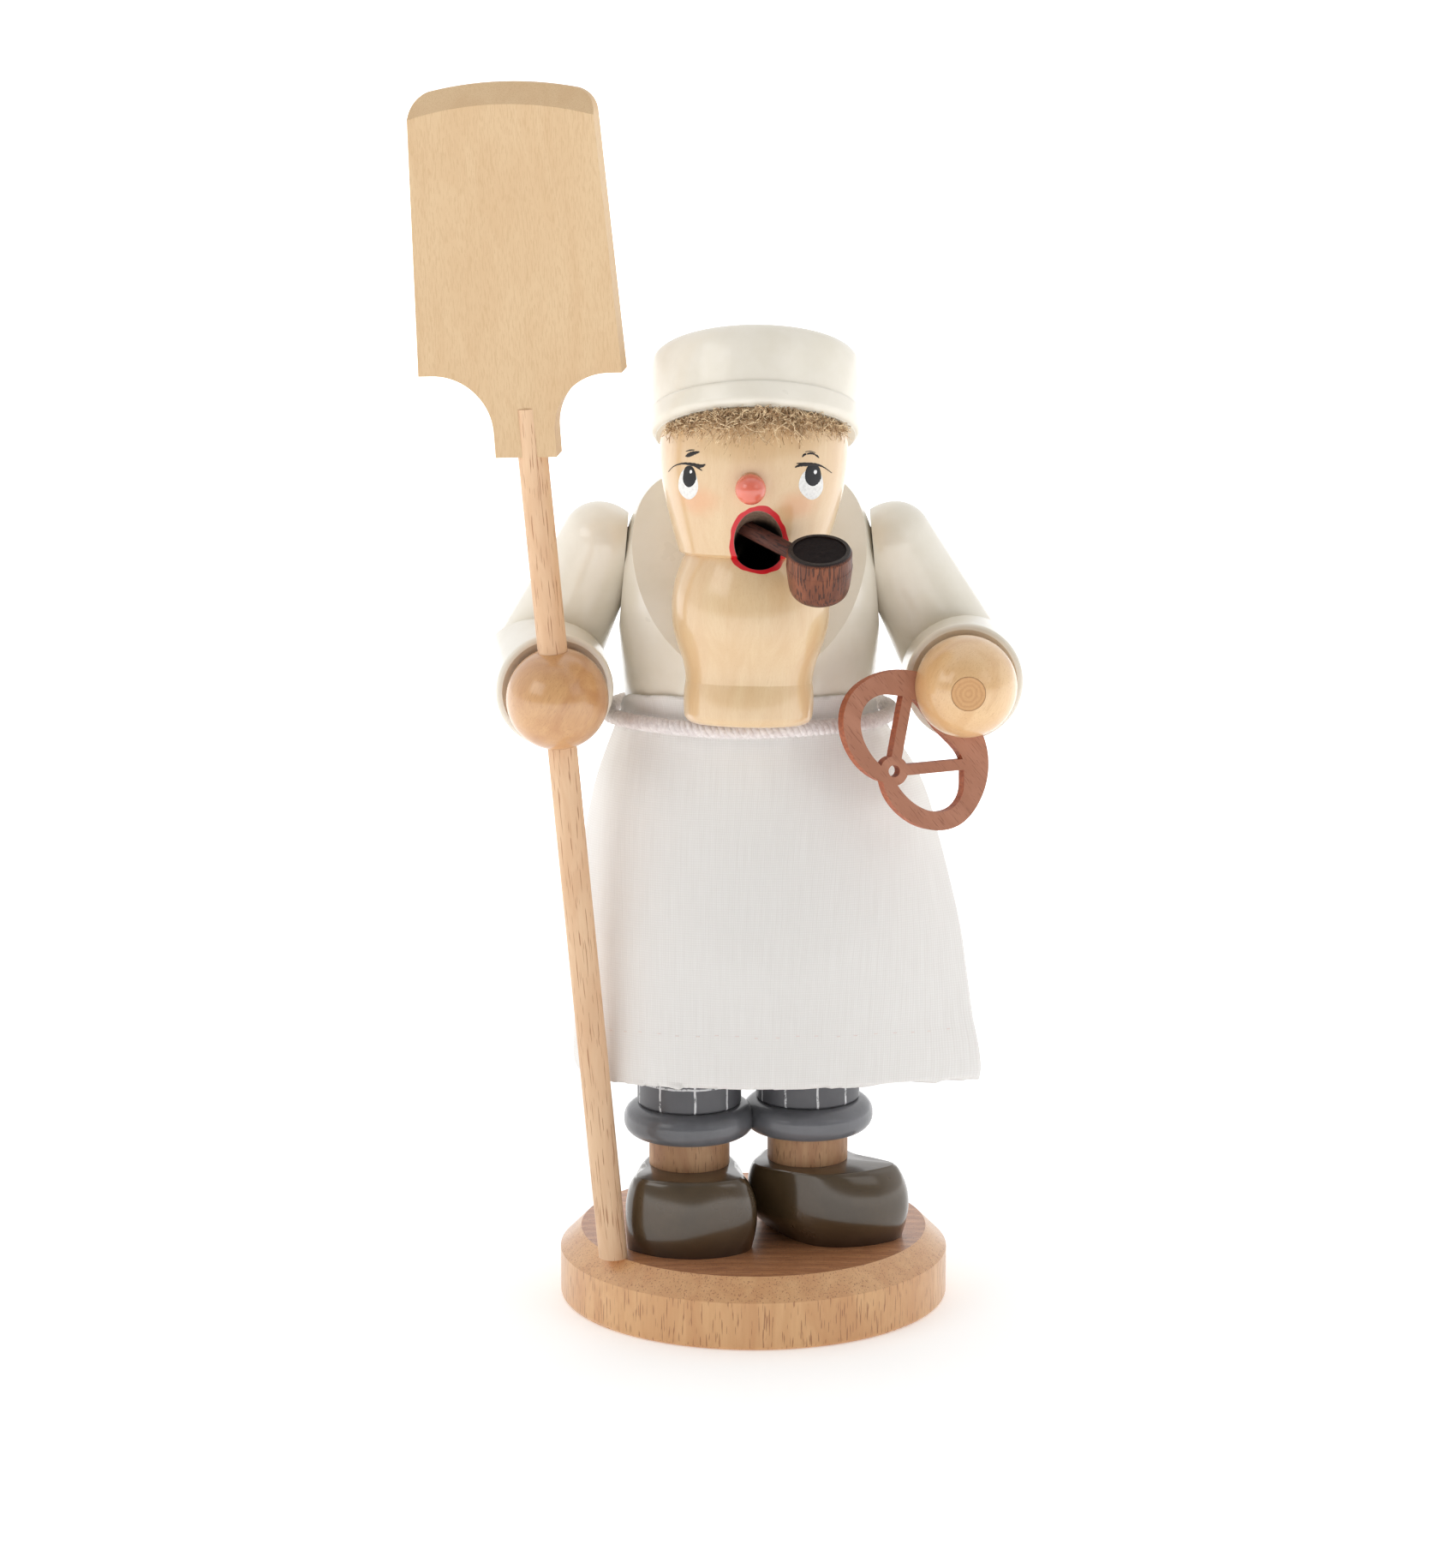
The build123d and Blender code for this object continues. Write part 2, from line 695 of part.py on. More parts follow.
# Peel: the pole stands on the board and runs through the right hand
right_hand = arm_points(-1)[-1]
left_hand = arm_points(1)[-1]
pole_foot = Vector(pole_foot_margin - base_radius, 0, base_top).rotate(Axis.Z, pole_foot_turn)
pole_axis = (right_hand - pole_foot).normalized()
pole_seat = Plane(origin=pole_foot, x_dir=(1, 0, 0), z_dir=pole_axis)
with BuildPart() as peel_pole:
    with BuildSketch(pole_seat.offset(-pole_diameter)):
        Circle(pole_radius)
    extrude(amount=pole_length + pole_diameter)
    split(bisect_by=Plane.XY.offset(base_top), keep=Keep.TOP)
peel_pole.part.label = "peel_pole"
export_step(peel_pole.part, "parts/peel_pole.step")

# Peel blade: flat board with coves at the neck and a bevelled leading edge
blade_normal = -pole_seat.y_dir.rotate(Axis(pole_foot, pole_axis), blade_turn)
blade_across = pole_seat.x_dir.rotate(Axis(pole_foot, pole_axis), blade_turn)
blade_frame = Plane(
    origin=pole_seat.from_local_coords(Vector(blade_shift, 0, pole_length - pole_socket_depth)),
    x_dir=blade_across.rotate(Axis(pole_foot, blade_normal), -blade_roll),
    z_dir=blade_normal,
)
shoulder_level = blade_neck_height + blade_cove
crown_arc = (blade_top_width ** 2 / blade_crown / 4 + blade_crown) / 2
crown_centre_level = shoulder_level + blade_height + blade_crown - crown_arc
crown_centre = Plane(
    origin=blade_frame.from_local_coords(Vector(0, crown_centre_level, 0)),
    x_dir=blade_frame.x_dir,
    z_dir=blade_frame.z_dir,
)
with BuildPart() as peel_blade:
    with BuildSketch(blade_frame.offset(-blade_thickness / 2)) as blade_face:
        with BuildLine():
            top_level = shoulder_level + blade_height
            crown_left = (-blade_top_width / 2, top_level)
            crown_right = (blade_top_width / 2, top_level)
            shoulder_right = (blade_width / 2, shoulder_level)
            shoulder_left = (-blade_width / 2, shoulder_level)
            neck_right = (blade_neck_width / 2, blade_neck_height)
            neck_left = (-blade_neck_width / 2, blade_neck_height)
            cove_right = (blade_neck_width / 2 + blade_cove, shoulder_level)
            cove_left = (-blade_neck_width / 2 - blade_cove, shoulder_level)
            ThreePointArc(crown_left, (0, top_level + blade_crown), crown_right)
            Line(crown_right, shoulder_right)
            Line(shoulder_right, cove_right)
            RadiusArc(cove_right, neck_right, -blade_cove)
            Polyline(neck_right, (blade_neck_width / 2, 0), (-blade_neck_width / 2, 0), neck_left)
            RadiusArc(neck_left, cove_left, -blade_cove)
            Line(cove_left, shoulder_left)
            Line(shoulder_left, crown_left)
        make_face()
        fillet(blade_face.vertices().group_by(Axis.Y)[-1], blade_corner)
    extrude(amount=blade_thickness)
    with BuildSketch(lathe(crown_centre)):
        with BuildLine():
            Polyline(
                (crown_arc - blade_bevel - overrun, blade_thickness / 2 + overrun),
                (crown_arc + overrun, blade_thickness / 2 - blade_bevel - overrun),
                (crown_arc + overrun, blade_thickness / 2 + overrun),
                close=True,
            )
        make_face()
    revolve(axis=spindle(crown_centre), mode=Mode.SUBTRACT)
    with BuildSketch(pole_seat.offset(pole_length - pole_socket_depth - overrun)):
        Circle(pole_radius + glue_gap)
    extrude(amount=pole_socket_depth + overrun + glue_gap, mode=Mode.SUBTRACT)
peel_blade.part.label = "peel_blade"
export_step(peel_blade.part, "parts/peel_blade.step")

# Pretzel: a flat moulded ring with crossed ends
pretzel_frame = Plane(
    origin=left_hand - Vector(pretzel_in, pretzel_forward, pretzel_drop),
    x_dir=Vector(1, 0, 0).rotate(Axis.Y, pretzel_roll),
    z_dir=Vector(0, -1, 0).rotate(Axis.X, -pretzel_tip).rotate(Axis.Z, pretzel_turn),
)


def pretzel_half(shares):
    """One half of an outline of the pretzel, from the notch to the middle of its belly."""
    return [(x * pretzel_width / 2, y * pretzel_height) for x, y in shares]


with BuildPart() as pretzel:
    with BuildSketch(pretzel_frame.offset(-pretzel_thickness / 2)):
        with BuildLine():
            Spline(pretzel_half(pretzel_outline_shares))
            mirror(about=Plane.YZ)
        make_face()
        with BuildLine():
            Spline(pretzel_half(pretzel_inner_shares))
            mirror(about=Plane.YZ)
        make_face(mode=Mode.SUBTRACT)
        for _, side in sides:
            across, along = pretzel_strand_end_shares
            end_x = side * across * pretzel_width / 2
            end_y = along * pretzel_height
            with BuildLine():
                Line((0, 0), (end_x, end_y))
            trace(line_width=pretzel_strand_width)
        Circle(pretzel_ring_diameter / 2)
        Circle(pretzel_hole_diameter / 2, mode=Mode.SUBTRACT)
    extrude(amount=pretzel_thickness)
pretzel.part.label = "pretzel"
export_step(pretzel.part, "parts/pretzel.step")

# The saw kerf that holds the pretzel in the left hand
kerf = pretzel_frame.offset(-pretzel_thickness / 2 - pretzel_kerf_gap)
kerf_end = pretzel_outline_shares[-1][1] * pretzel_height + pretzel_kerf_gap
kerf_thickness = pretzel_thickness + 2 * pretzel_kerf_gap

for side_name, side in sides:
    shoulder, elbow, wrist, hand_centre = arm_points(side)
    upper_axis = (elbow - shoulder).normalized()
    forearm_axis = (wrist - elbow).normalized()
    mitre = Plane(origin=elbow, z_dir=(upper_axis + forearm_axis).normalized())
    upper_length = (elbow - shoulder).length
    growth = (upper_arm_diameter - shoulder_diameter) / 2 / upper_length
    cap_radius = shoulder_diameter / 2 - growth * shoulder_cap
    far_radius = upper_arm_diameter / 2 + growth * upper_arm_diameter
    flat_plane = arm_flat(side)
    arm_seat = Plane(origin=shoulder - upper_axis * shoulder_cap, z_dir=upper_axis)
    arm_peg_seat = flat_plane.offset(-arm_peg_length / 2)
    elbow_peg_seat = Plane(origin=elbow - mitre.z_dir * arm_peg_length / 2, z_dir=mitre.z_dir)
    wrist_peg_start = hand_centre - forearm_axis * (hand_radius + wrist_peg_depth)
    wrist_peg_seat = Plane(origin=wrist_peg_start, z_dir=forearm_axis)
    peg_run = hand_radius + wrist_peg_depth + (wrist_peg_end if side > 0 else -wrist_peg_stop)

    # Pegs that pin the arm to the body and the forearm to the upper arm
    with BuildPart() as shoulder_peg:
        with BuildSketch(arm_peg_seat):
            Circle(arm_peg_diameter / 2)
        extrude(amount=arm_peg_length)
    shoulder_peg.part.label = f"shoulder_peg_{side_name}"
    export_step(shoulder_peg.part, f"parts/shoulder_peg_{side_name}.step")

    with BuildPart() as elbow_peg:
        with BuildSketch(elbow_peg_seat):
            Circle(arm_peg_diameter / 2)
        extrude(amount=arm_peg_length)
    elbow_peg.part.label = f"elbow_peg_{side_name}"
    export_step(elbow_peg.part, f"parts/elbow_peg_{side_name}.step")

    # Upper arm: tapered, rounded at the shoulder, mitred at the elbow and flat at the body
    with BuildPart() as upper_arm:
        with BuildSketch(arm_seat):
            Circle(cap_radius)
        with BuildSketch(arm_seat.offset(shoulder_cap + upper_length + upper_arm_diameter)):
            Circle(far_radius)
        loft()
        arm_rims = upper_arm.edges().filter_by(GeomType.CIRCLE)
        fillet(arm_rims.sort_by(spindle(arm_seat))[0], shoulder_rounding)
        split(bisect_by=mitre, keep=Keep.BOTTOM)
        split(bisect_by=flat_plane, keep=Keep.TOP)
        for peg_seat in (arm_peg_seat, elbow_peg_seat):
            with BuildSketch(peg_seat.offset(-peg_gap)):
                Circle(arm_peg_diameter / 2 + peg_gap)
            extrude(amount=arm_peg_length + 2 * peg_gap, mode=Mode.SUBTRACT)
    upper_arm.part.label = f"upper_arm_{side_name}"
    export_step(upper_arm.part, f"parts/upper_arm_{side_name}.step")

    # Forearm: the sleeve's mouth is countersunk and cupped for the hand
    with BuildPart() as forearm:
        with BuildSketch(Plane(origin=elbow, z_dir=forearm_axis).offset(-forearm_diameter)):
            Circle(forearm_radius)
        extrude(amount=forearm_diameter + forearm_length)
        sleeve_rims = forearm.edges().filter_by(GeomType.CIRCLE)
        fillet(sleeve_rims.sort_by(Axis(elbow, forearm_axis))[-1], sleeve_rounding)
        split(bisect_by=mitre, keep=Keep.TOP)
        with BuildSketch(Plane(origin=wrist, z_dir=forearm_axis)):
            Circle(sleeve_mouth_diameter / 2)
        with BuildSketch(Plane(origin=wrist, z_dir=forearm_axis).offset(-sleeve_mouth_depth)):
            Circle(sleeve_mouth_diameter / 2 - sleeve_mouth_depth)
        loft(mode=Mode.SUBTRACT)
        with Locations(hand_centre):
            Sphere(hand_radius + glue_gap, mode=Mode.SUBTRACT)
        with BuildSketch(elbow_peg_seat.offset(-peg_gap)):
            Circle(arm_peg_diameter / 2 + peg_gap)
        extrude(amount=arm_peg_length + 2 * peg_gap, mode=Mode.SUBTRACT)
        with BuildSketch(wrist_peg_seat.offset(-peg_gap)):
            Circle(wrist_peg_diameter / 2 + peg_gap)
        extrude(amount=peg_run, mode=Mode.SUBTRACT)
    forearm.part.label = f"forearm_{side_name}"
    export_step(forearm.part, f"parts/forearm_{side_name}.step")

    # Hand: a ball, drilled for the pole or kerfed for the pretzel
    with BuildPart() as hand:
        with Locations(hand_centre):
            Sphere(hand_radius)
        with BuildSketch(wrist_peg_seat):
            Circle(wrist_peg_diameter / 2 + peg_gap)
        extrude(amount=peg_run + (overrun if side > 0 else peg_gap), mode=Mode.SUBTRACT)
        if side < 0:
            with BuildSketch(pole_seat):
                Circle(pole_radius + peg_gap)
            extrude(amount=pole_length, mode=Mode.SUBTRACT)
        else:
            with BuildSketch(kerf):
                with Locations((0, kerf_end)):
                    Rectangle(pretzel_width, pretzel_height, align=(Align.CENTER, Align.MAX))
            extrude(amount=kerf_thickness, mode=Mode.SUBTRACT)
    hand.part.label = f"hand_{side_name}"
    export_step(hand.part, f"parts/hand_{side_name}.step")

    # Wrist peg: stops short of the pole, but runs right through the other hand
    with BuildPart() as wrist_peg:
        with BuildSketch(wrist_peg_seat):
            Circle(wrist_peg_diameter / 2)
        extrude(amount=peg_run)
        if side > 0:
            with BuildSketch(kerf):
                with Locations((0, kerf_end)):
                    Rectangle(pretzel_width, pretzel_height, align=(Align.CENTER, Align.MAX))
            extrude(amount=kerf_thickness, mode=Mode.SUBTRACT)
    wrist_peg.part.label = f"wrist_peg_{side_name}"
    export_step(wrist_peg.part, f"parts/wrist_peg_{side_name}.step")


def apron_plane(height, lean=0.0):
    """The plane of one of the apron's sections, raised at the front where it leans."""
    return level(waist + height).rotated((-lean, 0, 0))


def apron_section(right_end, left_end, radii):
    """Five points of a section, from the figure's right round the front to its left."""
    right_joint = right_end * apron_joint_share
    left_joint = left_end * apron_joint_share
    angles = (-right_end, -right_joint, 0, left_joint, left_end)
    return [Vector(0, -radius).rotate(Axis.Z, angle) for radius, angle in zip(radii, angles)]


# Sections of the apron: its top edge, the cord's level and evenly spaced ones down to the hem
waist_radius = radius_at(torso_outline_shares, torso_radius, torso_height, cord_height)
tuck_radius = waist_radius + apron_gap + apron_thickness
tuck_joint = tuck_radius + apron_joint_gap
front_rise = apron_top_height + torso_radius * sin(radians(apron_top_lean))
top_side = radius_at(torso_outline_shares, torso_radius, torso_height, apron_top_height)
top_front = radius_at(torso_outline_shares, torso_radius, torso_height, front_rise)
top_edge = apron_gap + apron_thickness + apron_top_gap
apron_planes = [apron_plane(apron_top_height, apron_top_lean), apron_plane(cord_height, cord_lean)]
apron_sections = [
    apron_section(
        apron_waist_angle,
        apron_waist_angle,
        [radius + top_edge for radius in (top_side, top_side, top_front, top_side, top_side)],
    ),
    apron_section(
        apron_waist_angle,
        apron_waist_angle,
        [tuck_radius, tuck_joint, tuck_radius, tuck_joint, tuck_radius],
    ),
]
apron_shares = zip(
    apron_right_end_shares,
    apron_right_joint_shares,
    apron_front_shares,
    apron_left_joint_shares,
    apron_left_end_shares,
)
for i, shares in enumerate(apron_shares):
    drop_share = (i + 1) / len(apron_front_shares)
    section_height = cord_height - drop_share * (cord_height + apron_hem_depth)
    apron_planes.append(apron_plane(section_height, apron_hem_lean))
    radii = [share * torso_radius for share in shares]
    apron_sections.append(apron_section(apron_right_angles[i], apron_left_angles[i], radii))


def inward(arc, position, turn):
    """The point under an arc of the cloth's outer face, one thickness in."""
    return arc @ position + (arc % position).rotate(Axis.Z, turn) * apron_thickness


with BuildPart() as apron:
    for plane, points in zip(apron_planes, apron_sections):
        with BuildSketch(plane):
            with BuildLine():
                front = ThreePointArc(points[1], points[2], points[3])
                left_flank = TangentArc(front @ 1, points[4], tangent=front % 1)
                right_flank = TangentArc(front @ 0, points[0], tangent=(front % 0) * -1)
                lining = ThreePointArc(inward(front, 0, 90), inward(front, 0.5, 90), inward(front, 1, 90))
                left_lining = TangentArc(lining @ 1, inward(left_flank, 1, 90), tangent=lining % 1)
                right_lining_end = inward(right_flank, 1, -90)
                right_lining = TangentArc(lining @ 0, right_lining_end, tangent=(lining % 0) * -1)
                Line(left_flank @ 1, left_lining @ 1)
                Line(right_flank @ 1, right_lining @ 1)
            make_face()
    loft()
apron.part.label = "apron"
export_step(apron.part, "parts/apron.step")

# Cord round the waist, knotted at the back
cord_plane = apron_plane(cord_height, cord_lean)
cord_ring = tuck_radius + cord_gap + cord_diameter / 2
with BuildPart() as apron_cord:
    with Locations(cord_plane):
        Torus(cord_ring, cord_diameter / 2)
        with Locations((0, cord_ring + cord_diameter / 4)):
            Sphere(knot_diameter / 2)
apron_cord.part.label = "apron_cord"
export_step(apron_cord.part, "parts/apron_cord.step")
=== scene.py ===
import math
import random

import bpy
from mathutils import Matrix, Vector, noise
from mathutils.bvhtree import BVHTree


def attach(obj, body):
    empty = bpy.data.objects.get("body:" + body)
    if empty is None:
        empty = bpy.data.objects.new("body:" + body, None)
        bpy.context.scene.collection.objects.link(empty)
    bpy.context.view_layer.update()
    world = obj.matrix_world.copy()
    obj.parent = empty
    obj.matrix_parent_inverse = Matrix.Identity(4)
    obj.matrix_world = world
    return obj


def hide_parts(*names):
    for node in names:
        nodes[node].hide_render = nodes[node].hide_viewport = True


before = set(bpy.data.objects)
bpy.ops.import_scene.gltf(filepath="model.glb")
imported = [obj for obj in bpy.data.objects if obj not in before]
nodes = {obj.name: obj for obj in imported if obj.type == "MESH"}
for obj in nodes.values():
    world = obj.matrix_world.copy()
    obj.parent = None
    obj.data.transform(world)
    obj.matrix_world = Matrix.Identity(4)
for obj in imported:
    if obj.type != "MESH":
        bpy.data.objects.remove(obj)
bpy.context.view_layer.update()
scene = bpy.context.scene

# Metres, in the frame of the solids: the figure faces -Y, and left and right are its own
MM = 0.001
PHOTO_WIDTH = 1680
PHOTO_HEIGHT = 1830
FOCAL = 6315.0
SENSOR = 36.0
EYE = Vector((-0.0059, -0.9, 0.296))
AIM = Vector((-0.0059, 0.0, 0.0903))


def rgb(red, green, blue):
    """An sRGB colour, 0 to 255, as the linear colour a shader takes."""
    values = [v / 255 for v in (red, green, blue)]
    return tuple(v / 12.92 if v <= 0.04045 else ((v + 0.055) / 1.055) ** 2.4 for v in values) + (1.0,)


# Camera

camera_data = bpy.data.cameras.new("camera")
camera_data.sensor_fit = "VERTICAL"
camera_data.sensor_height = SENSOR
camera_data.lens = FOCAL * SENSOR / PHOTO_HEIGHT
camera_data.clip_start = 0.01
camera_data.clip_end = 100
camera = bpy.data.objects.new("camera", camera_data)
camera.location = EYE
camera.rotation_euler = (AIM - EYE).to_track_quat("-Z", "Y").to_euler()
scene.collection.objects.link(camera)
scene.camera = camera
forward = (AIM - EYE).normalized()
right = forward.cross(Vector((0, 0, 1))).normalized()
up = right.cross(forward)


def photo_ray(x, y):
    """The direction from the photograph's camera through one of its points."""
    return (forward * FOCAL + right * (x - PHOTO_WIDTH / 2) - up * (y - PHOTO_HEIGHT / 2)).normalized()


# Light and floor


def area_light(name, place, target, size, power, tint=(1, 1, 1)):
    """A soft box that shines at a target."""
    data = bpy.data.lights.new(name, "AREA")
    data.shape = "RECTANGLE"
    data.size, data.size_y = size
    data.energy = power
    data.color = tint
    light = bpy.data.objects.new(name, data)
    light.location = place
    light.rotation_euler = (Vector(target) - Vector(place)).to_track_quat("-Z", "Y").to_euler()
    scene.collection.objects.link(light)


area_light("softbox_left", place=(-1.45, -1.15, 1.12), target=(0, 0, 0.09), size=(1.15, 0.9), power=6.0,
           tint=(1.0, 0.99, 0.975))
area_light("softbox_right", place=(1.36, -1.25, 1.06), target=(0, 0, 0.09), size=(0.9, 0.9), power=2.35,
           tint=(1.0, 0.99, 0.98))
area_light("softbox_top", place=(0, 0.1, 1.1), target=(0, 0, 0.1), size=(0.9, 0.9), power=0.5)

# The studio: white walls behind and beside the figure, and a darker room in front of it.
# The directions are shares of Y, and the strengths fade from the one to the other
ROOM_DIRECTION = -0.8
ROOM_STRENGTH = 0.22
WALL_DIRECTION = 0.22
WALL_STRENGTH = 1.03
world = bpy.data.worlds.new("studio")
scene.world = world
world.use_nodes = True
world_nodes = world.node_tree.nodes
world_links = world.node_tree.links
direction = world_nodes.new("ShaderNodeTexCoord").outputs["Generated"]
parts = world_nodes.new("ShaderNodeSeparateXYZ")
world_links.new(direction, parts.inputs[0])
wall = world_nodes.new("ShaderNodeMapRange")
wall.interpolation_type = "SMOOTHSTEP"
for socket, value in (("From Min", ROOM_DIRECTION), ("From Max", WALL_DIRECTION),
                      ("To Min", ROOM_STRENGTH), ("To Max", WALL_STRENGTH)):
    wall.inputs[socket].default_value = value
world_links.new(parts.outputs["Y"], wall.inputs["Value"])
world_links.new(wall.outputs["Result"], world_nodes["Background"].inputs["Strength"])
world_nodes["Background"].inputs["Color"].default_value = (1, 1, 1, 1)
scene.view_settings.view_transform = "Standard"


class Shader:
    """A small wrapper that builds one node material."""

    def __init__(self, name, **sockets):
        self.material = bpy.data.materials.new(name)
        self.material.use_nodes = True
        self.tree = self.material.node_tree
        self.tree.nodes.clear()
        self.surface = self.add("ShaderNodeBsdfPrincipled")
        output = self.add("ShaderNodeOutputMaterial")
        self.tree.links.new(self.surface.outputs[0], output.inputs["Surface"])
        for socket, value in sockets.items():
            self.surface.inputs[socket.replace("_", " ")].default_value = value

    def add(self, kind, **settings):
        node = self.tree.nodes.new(kind)
        for key, value in settings.items():
            setattr(node, key, value)
        return node

    def put(self, value, socket):
        """Links an output to a socket, or sets a plain value on it."""
        if isinstance(value, bpy.types.NodeSocket):
            self.tree.links.new(value, socket)
        else:
            socket.default_value = value

    def place(self, along=(0, 0, 1), stretch=(1, 1, 1), centre=(0, 0, 0)):
        """Object coordinates about a centre, turned so that a direction is Z, then stretched."""
        coordinates = self.add("ShaderNodeTexCoord").outputs["Object"]
        moved = self.vector("SUBTRACT", coordinates, centre)
        turned = self.add("ShaderNodeMapping")
        self.put(moved, turned.inputs["Vector"])
        turn = Vector(along).normalized().rotation_difference(Vector((0, 0, 1)))
        turned.inputs["Rotation"].default_value = turn.to_euler()
        return self.vector("MULTIPLY", turned.outputs[0], stretch)

    def vector(self, operation, a, b=None, output=0):
        node = self.add("ShaderNodeVectorMath", operation=operation)
        self.put(a, node.inputs[0])
        if b is not None:
            self.put(b, node.inputs[1])
        return node.outputs[output]

    def split(self, vector):
        node = self.add("ShaderNodeSeparateXYZ")
        self.put(vector, node.inputs[0])
        return node.outputs

    def length(self, vector):
        return self.vector("LENGTH", vector, output=1)

    def math(self, operation, a, b=0.0):
        node = self.add("ShaderNodeMath", operation=operation)
        self.put(a, node.inputs[0])
        self.put(b, node.inputs[1])
        return node.outputs[0]

    def plus(self, a, b):
        return self.math("ADD", a, b)

    def minus(self, a, b):
        return self.math("SUBTRACT", a, b)

    def times(self, a, b):
        return self.math("MULTIPLY", a, b)

    def noise(self, place, size, detail=3.0, roughness=0.55, distortion=0.0):
        """Noise whose features are about one size across, in metres."""
        node = self.add("ShaderNodeTexNoise")
        self.put(place, node.inputs["Vector"])
        for socket, value in (("Scale", 1 / size), ("Detail", detail), ("Roughness", roughness),
                              ("Distortion", distortion)):
            node.inputs[socket].default_value = value
        return node.outputs[0]

    def fade(self, value, start, end):
        """0 at start, 1 at end, smooth between them."""
        node = self.add("ShaderNodeMapRange", interpolation_type="SMOOTHSTEP")
        self.put(value, node.inputs["Value"])
        low, high = (start, end) if start < end else (end, start)
        node.inputs["From Min"].default_value = low
        node.inputs["From Max"].default_value = high
        if start > end:
            node.inputs["To Min"].default_value = 1.0
            node.inputs["To Max"].default_value = 0.0
        return node.outputs["Result"]

    def mix(self, share, a, b):
        """Colour a where the share is 0, b where it is 1."""
        node = self.add("ShaderNodeMix", data_type="RGBA")
        self.put(share, node.inputs["Factor"])
        self.put(a, node.inputs[6])
        self.put(b, node.inputs[7])
        return node.outputs[2]

    def bump(self, height, depth):
        """Bump whose full height range is a depth in metres."""
        node = self.add("ShaderNodeBump")
        node.inputs["Strength"].default_value = 1.0
        node.inputs["Distance"].default_value = depth
        self.put(height, node.inputs["Height"])
        return node.outputs[0]

    def normal(self):
        return self.add("ShaderNodeTexCoord").outputs["Normal"]

    def finish(self, color=None, roughness=None, normal=None):
        """Links what is given to the surface and hands the material over."""
        for value, name in ((color, "Base Color"), (roughness, "Roughness"), (normal, "Normal")):
            if value is not None:
                self.put(value, self.surface.inputs[name])
        return self.material


def wood_tone(shader, light, dark, fleck, along=(0, 0, 1), fleck_size=(0.3, 2.6), fleck_share=0.5,
              fleck_depth=0.75, centre=(0, 0, 0)):
    """Colour, bump height and fibres of bare wood: soft bands, fine fibres and short dark rays."""
    width, length = fleck_size
    fine = shader.place(along, (1, 1, 0.05), centre)
    broad = shader.noise(shader.place(along, (1, 1, 0.25), centre), 5 * MM, 3.0, 0.6, 0.8)
    fibre = shader.noise(fine, 0.35 * MM, 4.0, 0.65)
    rays = shader.noise(shader.place(along, (1, 1, width / length), centre), width * MM, 1.5, 0.4)
    edge = 0.72 - 0.2 * fleck_share
    spots = shader.fade(rays, edge, edge + 0.05)
    tone = shader.mix(shader.fade(broad, 0.3, 0.7), light, dark)
    tone = shader.mix(shader.times(shader.fade(fibre, 0.35, 0.75), 0.35), tone, dark)
    tone = shader.mix(shader.times(spots, fleck_depth), tone, fleck)
    height = shader.minus(fibre, shader.times(spots, fleck_depth))
    return tone, height, fibre


def wood(name, light, dark, fleck, roughness=0.5, coat=0.0, depth=0.03, **grain):
    """A wood, bare or varnished, whose bump is a depth in millimetres."""
    shader = Shader(name, Coat_Weight=coat, Coat_Roughness=0.15, Coat_IOR=1.7, Specular_IOR_Level=0.4)
    tone, height, fibre = wood_tone(shader, light, dark, fleck, **grain)
    rough = shader.plus(shader.times(fibre, 0.14), roughness - 0.07)
    return shader.finish(tone, rough, shader.bump(height, depth * MM))


def lacquer_tone(shader, color, shade):
    """Colour, bump height and clouds of lacquer on wood, with grain and brush just showing."""
    cloud = shader.noise(shader.place(), 9 * MM, 3.0, 0.6)
    brush = shader.noise(shader.place(stretch=(0.08, 0.08, 1)), 0.22 * MM, 2.0, 0.5)
    peel = shader.noise(shader.place(), 0.9 * MM, 2.0, 0.5)
    grain = shader.noise(shader.place(stretch=(1, 1, 0.06)), 0.5 * MM, 3.0, 0.6)
    tone = shader.mix(shader.fade(cloud, 0.3, 0.75), color, shade)
    tone = shader.mix(shader.times(shader.fade(grain, 0.5, 0.8), 0.18), tone, shade)
    dust = shader.noise(shader.place(), 0.35 * MM, 1.0, 0.5)
    tone = shader.mix(shader.times(shader.fade(dust, 0.76, 0.8), 0.3), tone, shade)
    height = shader.plus(shader.times(brush, 0.5), shader.plus(peel, grain))
    return tone, height, cloud


def lacquer(name, color, shade, roughness, coat, depth=0.012):
    """A lacquer whose bump is a depth in millimetres."""
    shader = Shader(name, Coat_Weight=coat, Coat_Roughness=0.13, Coat_IOR=1.6, Specular_IOR_Level=0.45)
    tone, height, cloud = lacquer_tone(shader, color, shade)
    rough = shader.plus(shader.times(cloud, 0.12), roughness - 0.06)
    return shader.finish(tone, rough, shader.bump(height, depth * MM))


def cotton(name, light, dark, size):
    """Loose cotton threads of a size in millimetres."""
    shader = Shader(name, Sheen_Weight=0.3, Sheen_Roughness=0.5, Specular_IOR_Level=0.2)
    tuft = shader.noise(shader.place(), size * 3 * MM, 3.0, 0.7)
    thread = shader.noise(shader.place(), size * MM, 2.0, 0.6)
    tone = shader.mix(shader.fade(tuft, 0.3, 0.7), light, dark)
    rough = shader.plus(shader.times(thread, 0.1), 0.8)
    return shader.finish(tone, rough, shader.bump(thread, 0.05 * MM))


def dress(material, *names):
    """Gives solids of the frame their material."""
    for name in names:
        nodes[name].data.materials.clear()
        nodes[name].data.materials.append(material)


def surface_of(name):
    """The surface of a solid of the frame, for rays to meet."""
    mesh = nodes[name].data
    corners = [vertex.co.copy() for vertex in mesh.vertices]
    return BVHTree.FromPolygons(corners, [tuple(polygon.vertices) for polygon in mesh.polygons])
